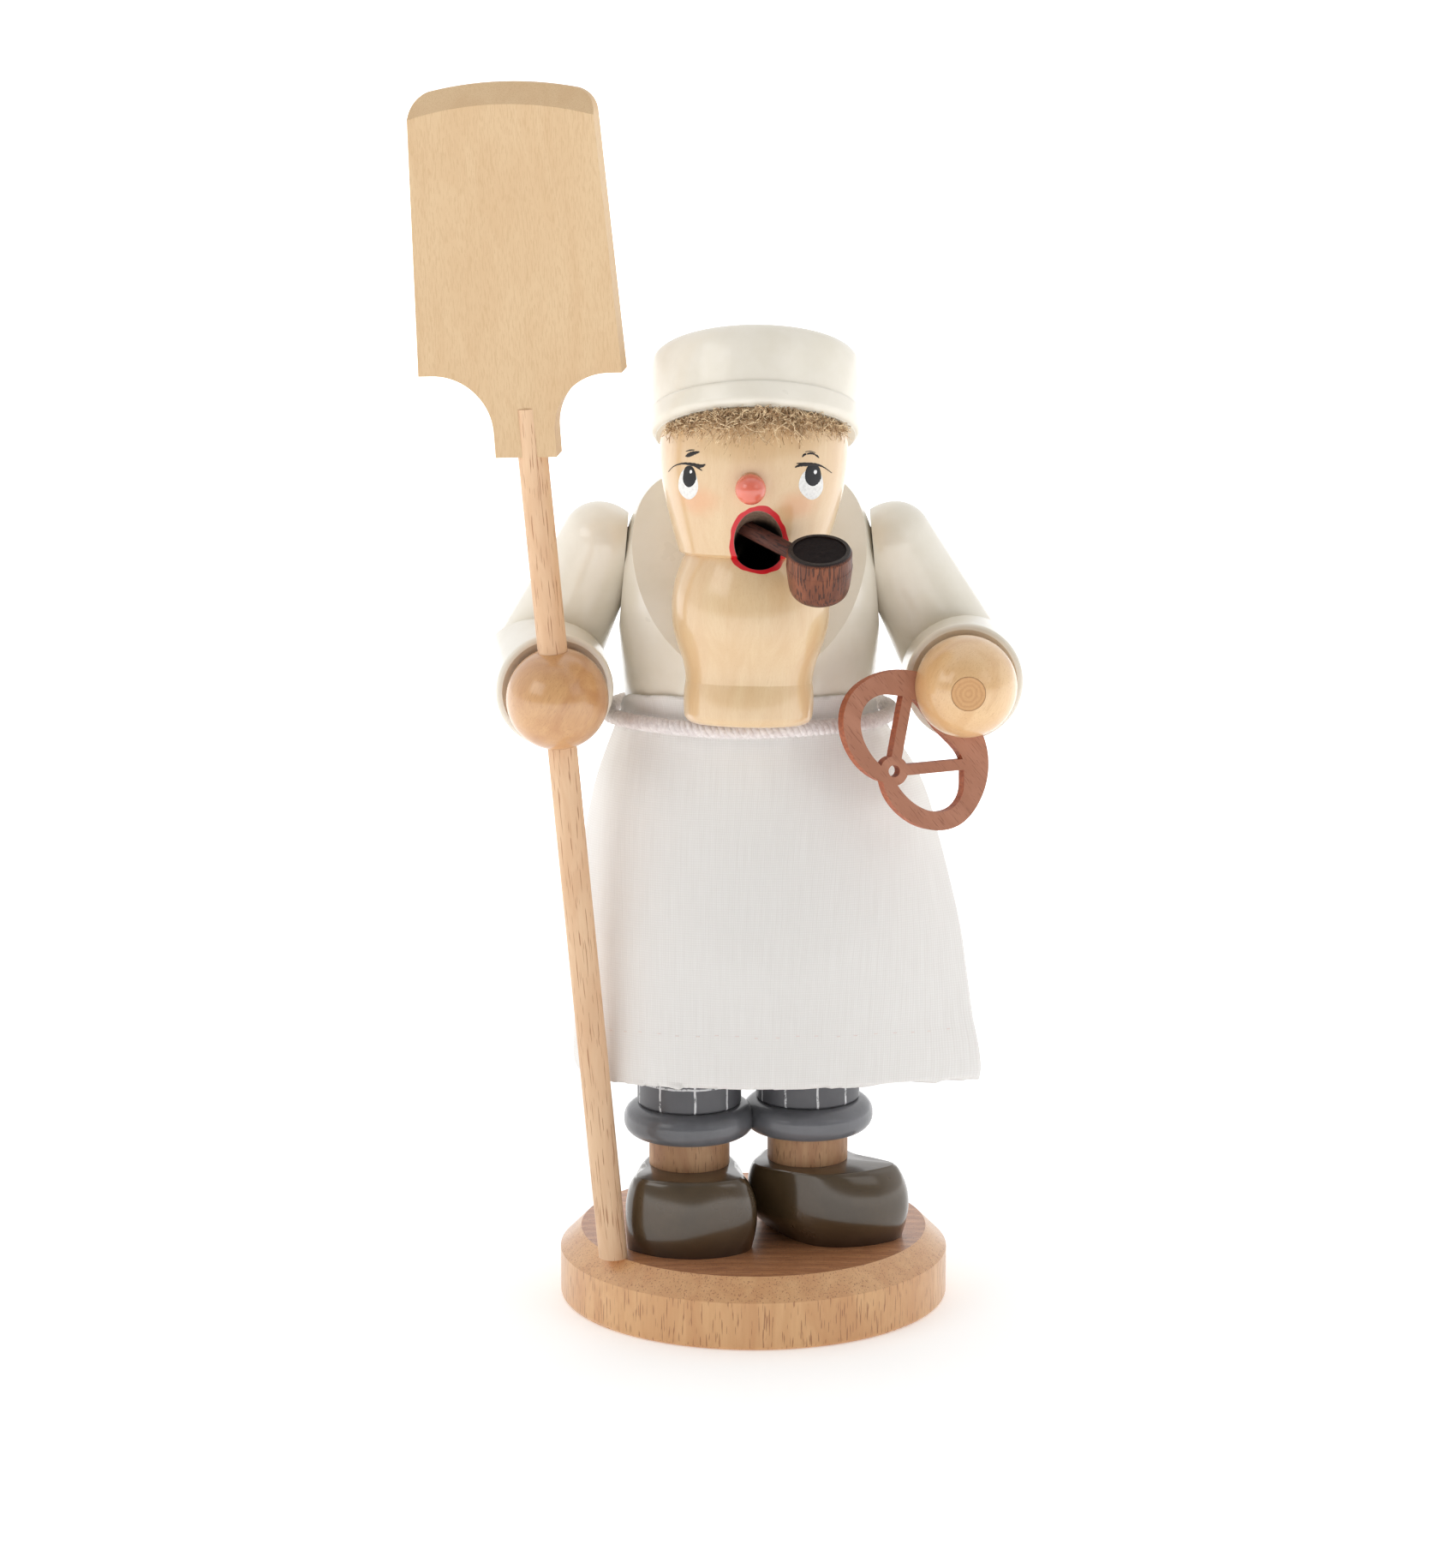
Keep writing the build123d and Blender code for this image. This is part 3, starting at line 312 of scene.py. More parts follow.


# Floor: it glows as painted light, weaker near the figure so that its shadow shows, and stronger further off

FLOOR_HALF = 30
FLOOR_DROP = 0.02 * MM
floor_data = bpy.data.meshes.new("floor")
floor_data.from_pydata(
    [(x * FLOOR_HALF, y * FLOOR_HALF, 0) for x, y in ((-1, -1), (1, -1), (1, 1), (-1, 1))], [], [(0, 1, 2, 3)]
)
floor = bpy.data.objects.new("floor", floor_data)
floor.location.z = -FLOOR_DROP
scene.collection.objects.link(floor)
floor_shader = Shader("floor_white", Roughness=0.7, Specular_IOR_Level=0.1)
floor_shader.surface.inputs["Emission Color"].default_value = (1, 1, 1, 1)
# Painted light: the floor's glow rises from 0.3 near the figure to 0.9 further off
away = floor_shader.fade(floor_shader.length(floor_shader.place()), 0.04, 0.4)
glow = floor_shader.plus(floor_shader.times(away, 0.6), 0.3)
floor_shader.put(glow, floor_shader.surface.inputs["Emission Strength"])
paper = floor_shader.noise(floor_shader.place(), 60 * MM, 2.0)
floor_data.materials.append(floor_shader.finish(
    floor_shader.mix(paper, rgb(250, 250, 250), rgb(247, 247, 246)),
    normal=floor_shader.bump(floor_shader.noise(floor_shader.place(), 0.5 * MM, 2.0), 0.01 * MM),
))

# Materials of the solids

cream = lacquer("cream_lacquer", rgb(240, 234, 221), rgb(233, 226, 210), roughness=0.3, coat=0.5)
dress(cream, "upper_body", "hat", "upper_arm_left", "upper_arm_right", "forearm_left", "forearm_right")
dress(wood("peg_beech", rgb(222, 180, 135), rgb(205, 160, 115), rgb(165, 110, 75)),
      "leg_pegs", "shoulder_peg_left", "shoulder_peg_right", "elbow_peg_left", "elbow_peg_right",
      "wrist_peg_right")

# Base board: upright grain, so the top and the bevel show end grain
shader = Shader("base_beech", Specular_IOR_Level=0.4, Coat_Weight=0.6, Coat_Roughness=0.2)
side, side_height, side_fibre = wood_tone(
    shader, rgb(232, 184, 130), rgb(217, 162, 110), rgb(166, 106, 66),
    fleck_size=(0.24, 3.6), fleck_share=0.56,
)
rings = shader.add("ShaderNodeTexWave", wave_type="BANDS", bands_direction="Y")
shader.put(shader.place(), rings.inputs["Vector"])
for socket, value in (("Scale", 95), ("Distortion", 4.5), ("Detail", 3), ("Detail Scale", 0.7)):
    rings.inputs[socket].default_value = value
streaks = shader.noise(shader.place(stretch=(0.12, 1, 1)), 0.5 * MM, 4.0, 0.7)
pores = shader.noise(shader.place(stretch=(1, 0.3, 1)), 0.3 * MM, 2.0, 0.6)
end = shader.mix(rings.outputs["Fac"], rgb(197, 133, 89), rgb(220, 158, 110))
end = shader.mix(shader.fade(streaks, 0.35, 0.75), end, rgb(164, 106, 74))
end = shader.mix(shader.times(shader.fade(pores, 0.58, 0.66), 0.4), end, rgb(130, 80, 55))
facing = shader.split(shader.normal())[2]
tone = shader.mix(shader.fade(facing, 0.2, 0.45), side, shader.mix(0.16, side, end))
tone = shader.mix(shader.fade(facing, 0.86, 0.97), tone, end)
height = shader.plus(side_height, shader.times(streaks, 0.4))
rough = shader.plus(shader.times(side_fibre, 0.15), 0.36)
dress(shader.finish(tone, rough, shader.bump(height, 0.03 * MM)), "base_plate")

dress(wood("ankle_beech", rgb(205, 162, 122), rgb(180, 132, 96), rgb(118, 78, 52), fleck_size=(0.22, 2.4),
           fleck_depth=0.6),
      "ankle_left", "ankle_right")
dress(wood("pole_beech", rgb(234, 199, 162), rgb(222, 181, 143), rgb(164, 106, 72), roughness=0.55,
           along=(-0.0874, -0.0712, 0.9936), fleck_size=(0.2, 5.5), fleck_depth=0.7,
           centre=(-0.024, -0.0189, 0.012)),
      "peel_pole")
dress(wood("blade_maple", rgb(221, 191, 151), rgb(215, 182, 141), rgb(200, 164, 122), roughness=0.55,
           depth=0.018, along=(-0.05, -0.0712, 0.995), fleck_size=(0.13, 1.6), fleck_share=0.85,
           fleck_depth=0.42, centre=(-0.037, -0.029, 0.152)),
      "peel_blade")

# Where the figure stands: the waist's and the ankles' centre lines, and the board's top, mm
WAIST = (-0.9, -6.0)
ANKLE_LEFT = (9.27, -4.35)
ANKLE_RIGHT = (-11.07, -7.65)
BOARD_TOP = 12.0
AXIS = Vector((*WAIST, 0.0)) * MM

# Shoes: glossy brown lacquer, with painted shade that darkens it towards the sole, where it meets the board
shader = Shader("shoe_lacquer", Coat_Weight=0.9, Coat_Roughness=0.16, Coat_IOR=1.6, Specular_IOR_Level=0.3)
tone, height, cloud = lacquer_tone(shader, rgb(84, 68, 47), rgb(72, 58, 39))
rise = shader.split(shader.place())[2]
# Painted shade: darker over the lowest 5 mm, next to the board
tone = shader.mix(shader.fade(rise, (BOARD_TOP + 5) * MM, BOARD_TOP * MM), tone, rgb(58, 45, 33))
rough = shader.plus(shader.times(cloud, 0.15), 0.22)
shoe_paint = shader.finish(tone, rough, shader.bump(height, 0.014 * MM))
dress(shoe_paint, "shoe_left", "shoe_right")
dress(lacquer("cuff_lacquer", rgb(112, 113, 118), rgb(96, 97, 101), roughness=0.36, coat=0.4, depth=0.03),
      "trouser_cuff_left", "trouser_cuff_right")


def windowpane(name, centre, radius, count, phase, first, step):
    """Dark grey paint with thin hand-painted lines round and down a turned piece, in mm and degrees.

    Half a step puts a line at the phase and at the first level, and whole steps keep the counts positive.
    """
    shader = Shader(name, Coat_Weight=0.2, Coat_Roughness=0.25)
    tone, height, cloud = lacquer_tone(shader, rgb(94, 94, 98), rgb(82, 82, 86))
    wobble = shader.noise(shader.place(), 3 * MM, 2.0, 0.5)
    x, y, z = shader.split(shader.place(centre=(centre[0] * MM, centre[1] * MM, 0)))
    angle = shader.math("ARCTAN2", x, shader.times(y, -1.0))
    turn = shader.times(angle, count / math.tau)
    shift = shader.times(shader.minus(wobble, 0.5), 0.09)
    turn = shader.plus(shader.plus(turn, shift), 10.5 - phase * count / 360)
    away = shader.math("ABSOLUTE", shader.minus(shader.math("FRACT", turn), 0.5))
    away = shader.times(away, math.tau * radius * MM / count)
    lines = shader.fade(away, 0.24 * MM, 0.15 * MM)
    level = shader.math("DIVIDE", shader.minus(z, first * MM), step * MM)
    level = shader.plus(level, shader.plus(shift, 20.5))
    above = shader.math("ABSOLUTE", shader.minus(shader.math("FRACT", level), 0.5))
    above = shader.times(above, step * MM)
    lines = shader.math("MAXIMUM", lines, shader.fade(above, 0.22 * MM, 0.13 * MM))
    worn = shader.fade(shader.noise(shader.place(), 1.1 * MM, 3.0, 0.7), 0.3, 0.5)
    tone = shader.mix(shader.times(lines, worn), tone, rgb(222, 222, 224))
    rough = shader.plus(shader.times(cloud, 0.15), 0.4)
    height = shader.plus(height, shader.times(lines, 2.0))
    return shader.finish(tone, rough, shader.bump(height, 0.014 * MM))


LEG_RADIUS = 8.9
SEAT_RADIUS = 21.0
LINE_STEP = 7.2
dress(windowpane("trousers_right", ANKLE_RIGHT, LEG_RADIUS, 9, 6.5, 40.7, LINE_STEP), "trouser_leg_right")
dress(windowpane("trousers_left", ANKLE_LEFT, LEG_RADIUS, 10, 10.0, 42.6, LINE_STEP), "trouser_leg_left")
dress(windowpane("trousers_seat", WAIST, SEAT_RADIUS, 24, 4.0, 39.9, LINE_STEP), "lower_body")

# Head: varnished wood with rouge, a red ring round the mouth, and a bore painted darker with depth as shade
MOUTH = Vector((0.4, -40.347, 139.9)) * MM
MOUTH_AXIS = Vector((0.0, 0.866, -0.5))
BORE_RADIUS = 4.0
RING_RADIUS = 5.2
CHEEKS = ((814, 584), (932, 590))
head_surface = surface_of("head")


def on_head(x, y, lift=0.0):
    """The point of the head that the photograph shows at a pixel, lifted off it."""
    place, normal, _, _ = head_surface.ray_cast(EYE, photo_ray(x, y))
    return place + normal * lift


shader = Shader("head_varnish", Coat_Weight=0.8, Coat_Roughness=0.15, Coat_IOR=1.7)
tone, height, fibre = wood_tone(
    shader, rgb(228, 198, 154), rgb(220, 184, 138), rgb(206, 168, 122),
    along=(0.02, 0.12, 0.99), fleck_size=(0.1, 1.2), fleck_share=0.6, fleck_depth=0.25,
)
rubbed = shader.noise(shader.place(), 2.5 * MM, 3.0, 0.6)
for cheek in CHEEKS:
    offset = shader.vector("SUBTRACT", shader.place(), tuple(on_head(*cheek)))
    distance = shader.length(shader.vector("MULTIPLY", offset, (0.8, 0.5, 1.2)))
    distance = shader.plus(distance, shader.times(rubbed, 1.4 * MM))
    rouge = shader.times(shader.fade(distance, 4.8 * MM, 1.4 * MM), 0.46)
    tone = shader.mix(rouge, tone, rgb(228, 150, 96))
offset = shader.vector("SUBTRACT", shader.place(), tuple(MOUTH))
depth_in = shader.vector("DOT_PRODUCT", offset, tuple(MOUTH_AXIS), output=1)
along = shader.vector("SCALE", tuple(MOUTH_AXIS))
shader.put(depth_in, along.node.inputs["Scale"])
radial = shader.length(shader.vector("SUBTRACT", offset, along))
wavy = shader.times(shader.noise(shader.place(), 2.6 * MM, 1.0, 0.5), 0.8 * MM)
ring = shader.fade(shader.plus(radial, wavy), RING_RADIUS * MM, (RING_RADIUS - 0.08) * MM)
ring = shader.times(ring, shader.fade(depth_in, 5 * MM, 4 * MM))
tone = shader.mix(ring, tone, rgb(206, 10, 26))
coat = shader.minus(0.8, shader.times(ring, 0.7))
shader.put(coat, shader.surface.inputs["Coat Weight"])
bore = shader.fade(radial, (BORE_RADIUS + 0.03) * MM, (BORE_RADIUS - 0.02) * MM)
bore_wall_and_shade = shader.mix(shader.fade(shader.noise(shader.place(), 0.6 * MM), 0.3, 0.7), rgb(142, 118, 100),
                   rgb(112, 90, 76))
# Painted shade: the bore's wall darkens to near black deeper in
bore_wall_and_shade = shader.mix(shader.fade(depth_in, 0.6 * MM, 3.6 * MM), bore_wall_and_shade, rgb(20, 14, 13))
tone = shader.mix(bore, tone, bore_wall_and_shade)
rough = shader.plus(shader.times(fibre, 0.15), 0.33)
dress(shader.finish(tone, rough, shader.bump(height, 0.012 * MM)), "head")

dress(lacquer("nose_lacquer", rgb(228, 120, 98), rgb(220, 106, 86), roughness=0.22, coat=0.7), "nose")

# Hands: balls with upright grain; the left one shows the round end of its wrist peg. The right hand's colours
# are darker as painted shade
HAND_COLORS = {
    "left": (rgb(236, 198, 148), rgb(224, 180, 128), rgb(196, 146, 98)),
    # Painted shade: the right hand's colours are darker than the left's
    "right": (rgb(216, 168, 116), rgb(195, 141, 92), rgb(172, 120, 76)),
}
for side_name, hand_colors in HAND_COLORS.items():
    dress(wood(f"hand_{side_name}_varnish", *hand_colors, roughness=0.34, coat=0.7, depth=0.012,
               along=(0.45, 0.1, 0.88), fleck_size=(0.16, 2.0), fleck_share=0.6, fleck_depth=0.3),
          f"hand_{side_name}")
PEG_RADIUS = 2.5
PEG_RING_STEP = 0.75
PEG_AXIS = Vector((0.0115, -0.9987, 0.0477))
PEG_END = Vector((34.76, -26.17, 112.8)) * MM
shader = Shader("peg_end_grain", Coat_Weight=0.4, Coat_Roughness=0.22)
offset = shader.place(PEG_AXIS, centre=tuple(PEG_END))
flat = shader.vector("MULTIPLY", offset, (1, 1, 0))
swirl = shader.times(shader.noise(shader.place(), 1.5 * MM, 2.0), 0.7 * MM)
away = shader.plus(shader.length(flat), swirl)
ringed = shader.math("SINE", shader.times(away, math.tau / (PEG_RING_STEP * MM)))
dark = shader.noise(shader.place(), 0.3 * MM, 3.0, 0.7)
tone = shader.mix(shader.fade(ringed, -0.8, 0.9), rgb(214, 164, 108), rgb(205, 152, 96))
tone = shader.mix(shader.times(shader.fade(dark, 0.5, 0.72), 0.4), tone, rgb(182, 130, 82))
edge = shader.minus(shader.length(flat), PEG_RADIUS * MM)
tone = shader.mix(shader.times(shader.fade(edge, 0.0, 0.35 * MM), 0.4), tone, rgb(176, 122, 74))
dress(shader.finish(tone, 0.4, shader.bump(dark, 0.02 * MM)), "wrist_peg_left")

# Pretzel: stained faces with lighter, redder sawn edges
PRETZEL_FACE = (0.3378, -0.9281, 0.1564)
shader = Shader("pretzel_stain", Specular_IOR_Level=0.35, Coat_Weight=0.08, Coat_Roughness=0.4)
facing = shader.math("ABSOLUTE", shader.vector("DOT_PRODUCT", shader.normal(), PRETZEL_FACE, output=1))
face, height, _ = wood_tone(
    shader, rgb(182, 127, 102), rgb(168, 113, 88), rgb(148, 96, 74), along=(0.62, 0.1, -0.78),
    fleck_size=(0.2, 2.2)
)
sawn = shader.noise(shader.place(PRETZEL_FACE, (1, 1, 0.3)), 0.5 * MM, 3.0, 0.6)
edge = shader.mix(shader.fade(sawn, 0.3, 0.7), rgb(188, 108, 72), rgb(160, 86, 56))
tone = shader.mix(shader.fade(facing, 0.7, 0.95), edge, face)
dress(shader.finish(tone, 0.55, shader.bump(shader.plus(height, sawn), 0.03 * MM)), "pretzel")

# Pipe: dark stained wood, charred at the rim, with painted shade at the foot of the bowl
shader = Shader("pipe_stain", Coat_Weight=0.08, Coat_Roughness=0.3, Specular_IOR_Level=0.3)
PIPE_AXIS = (0.0, -0.342, 0.94)
tone, height, _ = wood_tone(
    shader, rgb(142, 82, 54), rgb(96, 52, 34), rgb(46, 25, 18), along=PIPE_AXIS, fleck_size=(0.24, 2.8),
    fleck_share=0.85
)
rise = shader.split(shader.place(PIPE_AXIS, centre=(0.0101, -0.04549, 0.131531)))[2]
tone = shader.mix(shader.fade(rise, 8.2 * MM, 8.7 * MM), tone, rgb(27, 18, 18))
# Painted shade: darker towards the foot of the bowl
tone = shader.mix(shader.times(shader.fade(rise, 1.6 * MM, 0.2 * MM), 0.7), tone, rgb(58, 36, 28))
dress(shader.finish(tone, 0.42, shader.bump(height, 0.04 * MM)), "pipe_bowl")
dress(wood("stem_stain", rgb(92, 50, 37), rgb(62, 32, 25), rgb(38, 20, 17), roughness=0.6, depth=0.06,
           along=(0.7055, -0.6639, -0.2479), fleck_size=(0.24, 1.8), fleck_share=0.8,
           centre=(-0.0039, -0.0343, 0.1419)),
      "pipe_stem")

# Dish and nail: brass, a little sooty
shader = Shader("dish_brass", Metallic=1.0)
soot = shader.noise(shader.place(), 2.2 * MM, 4.0, 0.65)
scratch = shader.noise(shader.place(stretch=(1, 0.1, 1)), 0.2 * MM, 2.0, 0.5)
tone = shader.mix(shader.fade(soot, 0.4, 0.72), rgb(214, 178, 104), rgb(120, 92, 58))
rough = shader.plus(shader.times(soot, 0.4), 0.15)
dress(shader.finish(tone, rough, shader.bump(scratch, 0.01 * MM)), "incense_dish", "dish_nail")

# Pieces made here


def new_piece(name, vertices, faces, material, body="upper"):
    """A smooth mesh piece that rides on a body."""
    data = bpy.data.meshes.new(name)
    data.from_pydata([tuple(v) for v in vertices], [], faces)
    data.validate()
    data.materials.append(material)
    data.shade_smooth()
    piece = bpy.data.objects.new(name, data)
    scene.collection.objects.link(piece)
    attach(piece, body)
    return piece


def joined_rings(start, rings, sides):
    """Faces that join equal rings of vertices one to the next and cap both ends."""
    faces = []
    for i in range(rings - 1):
        for k in range(sides):
            a = start + i * sides + k
            b = start + i * sides + (k + 1) % sides
            faces.append((a, b, b + sides, a + sides))
    faces.append(tuple(start + k for k in reversed(range(sides))))
    faces.append(tuple(start + (rings - 1) * sides + k for k in range(sides)))
    return faces


def tube(path, radii, sides, vertices, faces):
    """Adds a closed tube along a path to a mesh's lists."""
    start = len(vertices)
    last = len(path) - 1
    normal = None
    for i, point in enumerate(path):
        tangent = (path[min(i + 1, last)] - path[max(i - 1, 0)]).normalized()
        if normal is None:
            normal = tangent.orthogonal().normalized()
        normal = (normal - tangent * normal.dot(tangent)).normalized()
        other = tangent.cross(normal)
        radius = radii[i] if isinstance(radii, (list, tuple)) else radii
        for k in range(sides):
            turn = math.tau * k / sides
            vertices.append(point + (normal * math.cos(turn) + other * math.sin(turn)) * radius)
    faces.extend(joined_rings(start, len(path), sides))


def smooth_line(points, steps):
    """Points of a Catmull-Rom curve through tuples of any length."""
    line = []
    ends = [points[0]] + list(points) + [points[-1]]
    for i in range(1, len(ends) - 2):
        a, b, c, d = ends[i - 1:i + 3]
        for j in range(steps):
            t = j / steps
            line.append(tuple(
                0.5 * (2 * q + (r - p) * t + (2 * p - 5 * q + 4 * r - s) * t * t
                       + (3 * q - p - 3 * r + s) * t ** 3)
                for p, q, r, s in zip(a, b, c, d)
            ))
    line.append(tuple(points[-1]))
    return line


# Face paint, laid on the head where the photograph shows it


def paint_film(name, color, spots=(), strokes=(), lift=0.03):
    """Thin films of one colour: ovals (x, y, width, height, tilt) and strokes of (x, y, width)."""
    vertices, faces = [], []
    for x, y, width, tall, tilt in spots:
        start = len(vertices)
        rings, around = 5, 36
        vertices.append(on_head(x, y, lift * MM))
        for ring_index in range(1, rings + 1):
            share = ring_index / rings
            for k in range(around):
                turn = math.tau * k / around
                wave = 1 + 0.025 * math.sin(3 * turn + x) + 0.015 * math.sin(5 * turn)
                across = math.cos(turn) * width / 2 * share * wave
                down = math.sin(turn) * tall / 2 * share * wave
                lean = math.radians(tilt)
                vertices.append(on_head(
                    x + across * math.cos(lean) - down * math.sin(lean),
                    y + across * math.sin(lean) + down * math.cos(lean),
                    lift * MM if ring_index < rings else 0.3 * lift * MM,
                ))
        for k in range(around):
            faces.append((start, start + 1 + k, start + 1 + (k + 1) % around))
            for ring_index in range(rings - 1):
                a = start + 1 + ring_index * around + k
                b = start + 1 + ring_index * around + (k + 1) % around
                faces.append((a, a + around, b + around, b))
    for stroke in strokes:
        line = smooth_line(stroke, 8)
        start = len(vertices)
        for i, (x, y, width) in enumerate(line):
            before = line[max(i - 1, 0)]
            after = line[min(i + 1, len(line) - 1)]
            run = Vector((after[0] - before[0], after[1] - before[1])).normalized()
            for share in (-0.5, -0.25, 0.25, 0.5):
                offset = width * share * (1 + 0.12 * math.sin(i * 1.7 + share * 9))
                film = lift * MM if abs(share) < 0.4 else 0.3 * lift * MM
                vertices.append(on_head(x - run.y * offset, y + run.x * offset, film))
        for i in range(len(line) - 1):
            for k in range(3):
                a = start + 4 * i + k
                faces.append((a, a + 1, a + 5, a + 4))
    shader = Shader(f"{name}_paint", Coat_Weight=0.1, Coat_Roughness=0.3, Specular_IOR_Level=0.3)
    cloud = shader.noise(shader.place(), 0.5 * MM, 3.0, 0.6)
    darker = tuple(0.82 * c for c in color[:3]) + (1.0,)
    tone = shader.mix(shader.fade(cloud, 0.35, 0.75), color, darker)
    rough = shader.plus(shader.times(cloud, 0.2), 0.35)
    paint = shader.finish(tone, rough, shader.bump(cloud, 0.01 * MM))
    new_piece(name, vertices, faces, paint)


paint_film("eye_whites", rgb(244, 243, 240), spots=((803.6, 564.5, 23, 37, -2), (947.2, 565, 28.5, 36, 2)))
paint_film("eye_pupils", rgb(24, 24, 28), lift=0.06,
           spots=((804.8, 556.5, 16, 26, 0), (949, 554.5, 19.5, 27.5, 3)))
# Painted highlights: white spots where the glossy pupils catch the light
paint_film("eye_glints", rgb(250, 250, 250), lift=0.09,
           spots=((806.8, 550.5, 3.2, 4.6, 10), (951.6, 550.8, 4.2, 5.6, 10)))
paint_film(
    "lashes_and_brows",
    rgb(40, 34, 32),
    lift=0.08,
    strokes=(
        ((780.5, 550.5, 0.5), (787, 544, 1.1), (797, 541, 2.2), (808, 542, 3.8), (818, 544, 4.2),
         (823.5, 542, 1.5)),
        ((810, 543, 2.0), (817, 547.5, 1.6), (820, 549.5, 0.7)),
        ((928, 545.5, 1.4), (934, 543, 3.2), (944, 542, 4.2), (954, 542.5, 3.0), (962, 545.5, 1.4),
         (971, 552, 0.7)),
        ((930, 541, 1.2), (940, 540.5, 1.6), (951, 541, 1.0)),
        ((800.5, 532.5, 1.4), (803.5, 531.5, 4.4), (808, 529.5, 5.0), (814.5, 527.8, 2.6), (817, 527.4, 0.8)),
        ((801, 526.8, 0.8), (806, 525.4, 1.6), (811, 525.2, 0.8)),
        ((936.5, 533.5, 1.0), (938.5, 531, 2.6), (941, 529.8, 2.0)),
        ((942, 530, 1.6), (946.5, 529, 2.4), (951, 530, 1.8)),
        ((951, 530.5, 1.2), (954, 532.2, 2.2), (956, 534.5, 0.8)),
        ((940, 527.5, 0.6), (946, 526.6, 0.9), (952, 528.4, 0.6)),
    ),
)

# Hat: a turned cap with a band at its foot and a low dome. Radius and height of its profile, mm
HAT_SEAT = Vector((0.0, -25.3, 154.3)) * MM
HAT_AXIS = Vector((0.0, 0.4462, 0.8949))
HAT_BACK = Vector((0.0, 0.8949, -0.4462))
HAT_PROFILE = (
    (0.0, 0.0), (8.0, 0.0), (15.6, 0.0), (16.3, 0.1), (16.95, 0.5), (17.3, 1.1), (17.4, 1.8), (17.4, 3.4),
    (17.38, 3.8), (17.3, 4.02), (17.12, 4.12), (17.0, 4.2), (16.98, 4.4), (17.05, 4.9), (17.2, 6.2),
    (17.35, 8.2), (17.4, 9.8), (17.32, 11.4), (17.0, 12.7), (16.35, 13.6), (15.3, 14.2), (13.2, 14.75),
    (10.2, 15.2), (6.6, 15.5), (3.2, 15.65), (0.5, 15.7), (0.0, 15.7),
)
HAT_AROUND = 180
profile = smooth_line(HAT_PROFILE, 4)[1:-1]
vertices = []
for radius, rise in profile:
    for k in range(HAT_AROUND):
        turn = math.tau * k / HAT_AROUND
        spoke = Vector((math.cos(turn), 0, 0)) + HAT_BACK * math.sin(turn)
        vertices.append(HAT_SEAT + (spoke * max(radius, 0.02) + HAT_AXIS * rise) * MM)
hat = new_piece("hat_turned", vertices, joined_rings(0, len(profile), HAT_AROUND), cream)
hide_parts("hat")

# Hair: a fringe of curled fibres under the hat's rim, and a few strands on the forehead.
# Reach and length in mm, turns from the front in degrees
FRINGE_COUNT = 2300
FRINGE_TURN = 64
FOREHEAD_COUNT = 26
HAIR_STEPS = 7
HAIR_REACH = 16.2
rng = random.Random(7)
vertices, faces = [], []


def strand(turn, reach, length, curl, spread, thick):
    """One curled fibre that hangs from under the hat."""
    outward = Vector((math.sin(turn), 0, 0)) - HAT_BACK * math.cos(turn)
    sideways = Vector((math.cos(turn), 0, 0)) + HAT_BACK * math.sin(turn)
    point = HAT_SEAT + outward * reach * MM - HAT_AXIS * rng.uniform(0.0, 0.3) * MM
    way = -HAT_AXIS + outward * rng.uniform(-0.15, 0.2) + sideways * rng.uniform(-spread, spread)
    way = way.normalized()
    curl_axis = sideways * rng.uniform(-1, 1) + outward * rng.uniform(-0.8, 0.8) + HAT_AXIS * 0.4
    curl_axis = curl_axis.normalized()
    path = [point.copy()]
    for _ in range(HAIR_STEPS):
        way = (Matrix.Rotation(math.radians(curl), 3, curl_axis) @ way).normalized()
        if (point - HAT_SEAT).dot(outward) > HAIR_REACH * MM:
            way = (way - outward * 0.5).normalized()
        if (point - HAT_SEAT).dot(HAT_AXIS) > -0.5 * MM:
            way = (way - HAT_AXIS * 0.9).normalized()
        point = point + way * length * MM / HAIR_STEPS
        path.append(point.copy())
    radii = [thick * MM * (1 - 0.55 * k / HAIR_STEPS) for k in range(HAIR_STEPS + 1)]
    tube(path, radii, 4, vertices, faces)


for i in range(FRINGE_COUNT):
    turn = math.radians(rng.uniform(-FRINGE_TURN, FRINGE_TURN))
    longest = 2.4 + 4.8 * math.cos(turn) ** 2
    strand(turn, rng.uniform(13.9, 16.0), rng.uniform(0.35, 1.0) * longest, rng.uniform(-60, 60), 2.2,
           rng.choice((0.05, 0.07, 0.1, 0.14)))
for i in range(FOREHEAD_COUNT):
    turn = math.radians(rng.uniform(-26, -2))
    strand(turn, rng.uniform(13.6, 14.6), rng.uniform(5.5, 9.0), rng.uniform(-14, 14), 0.6,
           rng.uniform(0.04, 0.06))
shader = Shader("hair_fibre", Sheen_Weight=0.2, Specular_IOR_Level=0.35, Roughness=0.55)
tuft = shader.noise(shader.place(), 0.8 * MM, 2.0, 0.6)
tone = shader.mix(shader.fade(tuft, 0.38, 0.62), rgb(250, 224, 182), rgb(164, 126, 86))
hair_paint = shader.finish(tone, normal=shader.bump(tuft, 0.02 * MM))
hair = new_piece("hair_fringe", vertices, faces, hair_paint)
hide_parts("hair")

